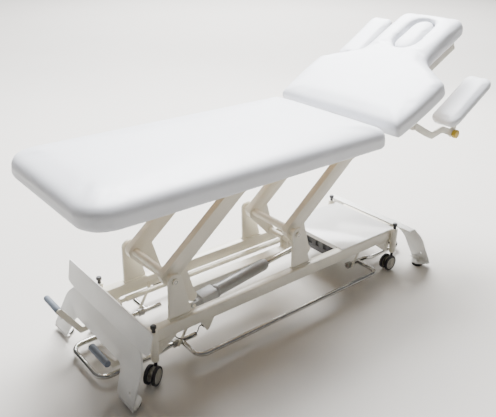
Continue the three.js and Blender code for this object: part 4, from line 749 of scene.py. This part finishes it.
class MASSAGE_OT_castors(bpy.types.Operator):
    """Turn the twin castor wheels: black treads round dished beige discs"""
    bl_idname = "massage.castors"
    bl_label = "Castor wheels"

    def execute(self, context):
        sides = context.scene.massage_edges.turned_sides
        treads, discs = [], []
        for turn in (1, -1):
            tread_profile = [(radius, turn * along) for radius, along in TREAD_PROFILE]
            disc_profile = [(radius, turn * along) for radius, along in DISC_PROFILE]
            treads.append(turned("tread", tread_profile, sides, closed=True))
            discs.append(turned("disc", disc_profile, sides))
        discs.append(turned("axle", AXLE_PROFILE, AXLE_SIDES))
        tread, disc = joined("tread_pair", *treads), joined("disc_pair", *discs)
        for corner in CORNERS:
            body = f"castor_wheels_{corner}"
            place = self.wheel_place(corner)
            self.add_piece(tread, f"castor_treads_{corner}", place, body,
                           "castor_tread", "castor_tread", body)
            self.add_piece(disc, f"castor_discs_{corner}", place, body,
                           "castor_disc", "grey_plastic")
        discard(tread, disc)
        return {"FINISHED"}

    def wheel_place(self, corner):
        """Where a castor's axle lies, turned from Y to the axle's own line."""
        joint = JOINTS[f"castor_roll_{corner}"]
        axle = Vector(joint["axis"]).normalized()
        turn = Vector((0, 1, 0)).rotation_difference(axle).to_matrix().to_4x4()
        return Matrix.Translation(Vector(joint["pos_m"])) @ turn

    def add_piece(self, template, name, place, body, material, slot, *nodes):
        piece = placed_copy(template, name, place)
        smooth_by_angle(piece, SMOOTH["wheel"])
        finish_piece(piece, body, material, slot, *nodes)


class MASSAGE_OT_grips(bpy.types.Operator):
    """Turn the two tapered rubber grips of the castor pedals"""
    bl_idname = "massage.grips"
    bl_label = "Pedal grips"

    def execute(self, context):
        low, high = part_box("pedal_grip_far")
        start, length = low[1] / MILLIMETRE, (high[1] - low[1]) / MILLIMETRE
        centre = Vector(((low[0] + high[0]) / 2, 0, (low[2] + high[2]) / 2))
        template = turned("grip", self.profile(length), context.scene.massage_edges.turned_sides)
        for name, side in SIDES:
            place = Matrix.Translation(centre + Vector((0, side * start * MILLIMETRE, 0)))
            if side < 0:
                place = place @ HALF_TURN
            grip = placed_copy(template, f"rubber_grip_{name}", place)
            smooth_by_angle(grip, SMOOTH["grip"])
            finish_piece(grip, "castor_shaft_foot", "grip_rubber", "grip_rubber",
                         f"pedal_grip_{name}")
        discard(template)
        return {"FINISHED"}

    def profile(self, length):
        radius, along = GRIP_COLLAR[-1]
        taper = [(radius - GRIP_TAPER * ring / GRIP_RINGS,
                  along + (length - GRIP_ENDS) * ring / GRIP_RINGS)
                 for ring in range(1, GRIP_RINGS + 1)]
        tip = [(radius, length - back) for radius, back in GRIP_TIP]
        return [*GRIP_COLLAR, *taper, *tip]


class MASSAGE_OT_fittings(bpy.types.Operator):
    """Add the bolt heads on the pivots of the lift's arms"""
    bl_idname = "massage.fittings"
    bl_label = "Pivot bolts"

    def execute(self, context):
        bolt = turned("bolt", BOLT_PROFILE, BOLT_SIDES)
        for joint_name in ("lift", "head_arms_pivot"):
            x, _, z = JOINTS[joint_name]["pos_m"]
            for name, side in SIDES:
                place = Matrix.Translation(Vector((x, side * LUG_FACE, z)))
                if side > 0:
                    place = place @ HALF_TURN
                piece = placed_copy(bolt, f"pivot_bolt_{joint_name}_{name}", place)
                smooth_by_angle(piece, SMOOTH["bolt"])
                finish_piece(piece, "base", "zinc", "chrome")
        discard(bolt)
        return {"FINISHED"}


class MASSAGE_OT_cushions(bpy.types.Operator):
    """Pad the body cushion, the head cushion with its plug, and the two armrest pads"""
    bl_idname = "massage.cushions"
    bl_label = "Cushions and pads"

    def execute(self, context):
        settings = context.scene.massage_cushions
        cells = {"body_cushion": settings.body_cell, "head_cushion": settings.head_cell}
        swells = {"body_cushion": settings.body_swell,
                  "head_cushion": settings.pad_swell * HEAD_SWELL_SHARE}
        for node, (name, rounds) in PADDED.items():
            piece = merged_copy(node, name)
            self.fine_shell(piece, cells.get(node, settings.pad_cell))
            up = self.upward(piece.data)
            self.round_over(piece, up, rounds)
            self.swell(piece, swells.get(node, settings.pad_swell), up, settings)
            self.fit_to(piece, node)
            self.smooth(piece)
            finish_piece(piece, BODY_OF[node], "vinyl_padding", "vinyl_padding", node)
        return {"FINISHED"}

    def fine_shell(self, piece, cell):
        """The solid's surface as a shell of small even faces."""
        remesh = piece.modifiers.new("cells", "REMESH")
        remesh.mode = "VOXEL"
        remesh.voxel_size = cell
        apply_modifiers(piece)

    def upward(self, mesh):
        """The way that a cushion's broad top faces."""
        total = Vector((0, 0, 0))
        for polygon in mesh.polygons:
            if polygon.normal.z > TOP_RISE:
                total += polygon.normal * polygon.area
        return total.normalized()

    def round_over(self, piece, up, rounds):
        """Ease the upper edge, so that the cover sweeps over it, but spare the slot's rim."""
        mesh = piece.data
        low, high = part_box("face_plug")
        heights = [vertex.co.dot(up) for vertex in mesh.vertices]
        bottom, top = min(heights), max(heights)
        group = piece.vertex_groups.new(name="upper_edge")
        for vertex, height in zip(mesh.vertices, heights):
            weight = EASE_GAIN * (height - bottom) / (top - bottom) - EASE_START
            weight = min(max(weight, EASE_LEAST), 1.0)
            if all(low[axis] - SLOT_RIM < vertex.co[axis] < high[axis] + SLOT_RIM
                   for axis in (0, 1)):
                weight *= SLOT_RIM_SHARE
            group.add([vertex.index], weight, "REPLACE")
        ease = piece.modifiers.new("ease", "SMOOTH")
        ease.iterations = rounds
        ease.vertex_group = "upper_edge"
        apply_modifiers(piece)
        piece.vertex_groups.clear()

    def swell(self, piece, most, up, settings):
        """Blow the cover up a little as cloth, held by its underside."""
        mesh = piece.data
        rest = [vertex.co.copy() for vertex in mesh.vertices]
        underside = [vertex.index for vertex in mesh.vertices
                     if vertex.normal.dot(up) < -UNDERSIDE_DROP]
        held = piece.vertex_groups.new(name="held")
        held.add(underside, 1.0, "REPLACE")
        cloth = piece.modifiers.new("cover", "CLOTH")
        cloth.settings.use_pressure = True
        cloth.settings.uniform_pressure_force = settings.pressure
        cloth.settings.effector_weights.gravity = 0.0
        cloth.settings.vertex_group_mass = "held"
        cloth.settings.quality = CLOTH_QUALITY
        cloth.point_cache.frame_start = 1
        cloth.point_cache.frame_end = settings.frames
        for frame in range(1, settings.frames + 1):
            bpy.context.scene.frame_set(frame)
        apply_modifiers(piece)
        bpy.context.scene.frame_set(1)
        for vertex, start in zip(piece.data.vertices, rest):
            move = vertex.co - start
            if move.length > most:
                vertex.co = start + move.normalized() * most
        ease = piece.modifiers.new("ease", "SMOOTH")
        ease.iterations = SETTLE_ROUNDS
        ease.factor = SETTLE_FACTOR
        apply_modifiers(piece)
        piece.vertex_groups.clear()

    def fit_to(self, piece, node):
        """Keep the length and width that the solid has."""
        vertices = piece.data.vertices
        low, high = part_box(node)
        for axis in (0, 1):
            first = min(vertex.co[axis] for vertex in vertices)
            last = max(vertex.co[axis] for vertex in vertices)
            share = (high[axis] - low[axis]) / (last - first)
            for vertex in vertices:
                vertex.co[axis] = low[axis] + (vertex.co[axis] - first) * share

    def smooth(self, piece):
        fine = piece.modifiers.new("fine", "SUBSURF")
        fine.levels = fine.render_levels = 1
        apply_modifiers(piece)
        bpy.ops.object.shade_smooth()


class MASSAGE_PT_panel(bpy.types.Panel):
    """Lists the steps that dress the massage table"""
    bl_label = "Massage table"
    bl_idname = "MASSAGE_PT_panel"
    bl_space_type = "VIEW_3D"
    bl_region_type = "UI"
    bl_category = "Massage table"

    def draw(self, context):
        for operator in OPERATORS:
            self.layout.operator(operator.bl_idname)


OPERATORS = (
    MASSAGE_OT_stage, MASSAGE_OT_switch_lead, MASSAGE_OT_steelwork, MASSAGE_OT_foot_ring,
    MASSAGE_OT_castors, MASSAGE_OT_grips, MASSAGE_OT_fittings, MASSAGE_OT_cushions,
)
GROUPS = {
    "massage_cushions": CushionSettings,
    "massage_finishes": FinishSettings,
    "massage_edges": EdgeSettings,
    "massage_stage": StageSettings,
}


def register():
    for group in GROUPS.values():
        bpy.utils.register_class(group)
    for name, group in GROUPS.items():
        setattr(bpy.types.Scene, name, PointerProperty(type=group))
    for operator in OPERATORS:
        bpy.utils.register_class(operator)
    bpy.utils.register_class(MASSAGE_PT_panel)


def unregister():
    bpy.utils.unregister_class(MASSAGE_PT_panel)
    for operator in reversed(OPERATORS):
        bpy.utils.unregister_class(operator)
    for name in GROUPS:
        delattr(bpy.types.Scene, name)
    for group in reversed(list(GROUPS.values())):
        bpy.utils.unregister_class(group)


def main():
    register()
    bpy.ops.massage.stage()
    bpy.ops.massage.switch_lead()
    bpy.ops.massage.steelwork()
    bpy.ops.massage.foot_ring()
    bpy.ops.massage.castors()
    bpy.ops.massage.grips()
    bpy.ops.massage.fittings()
    bpy.ops.massage.cushions()


if __name__ == "__main__":
    main()
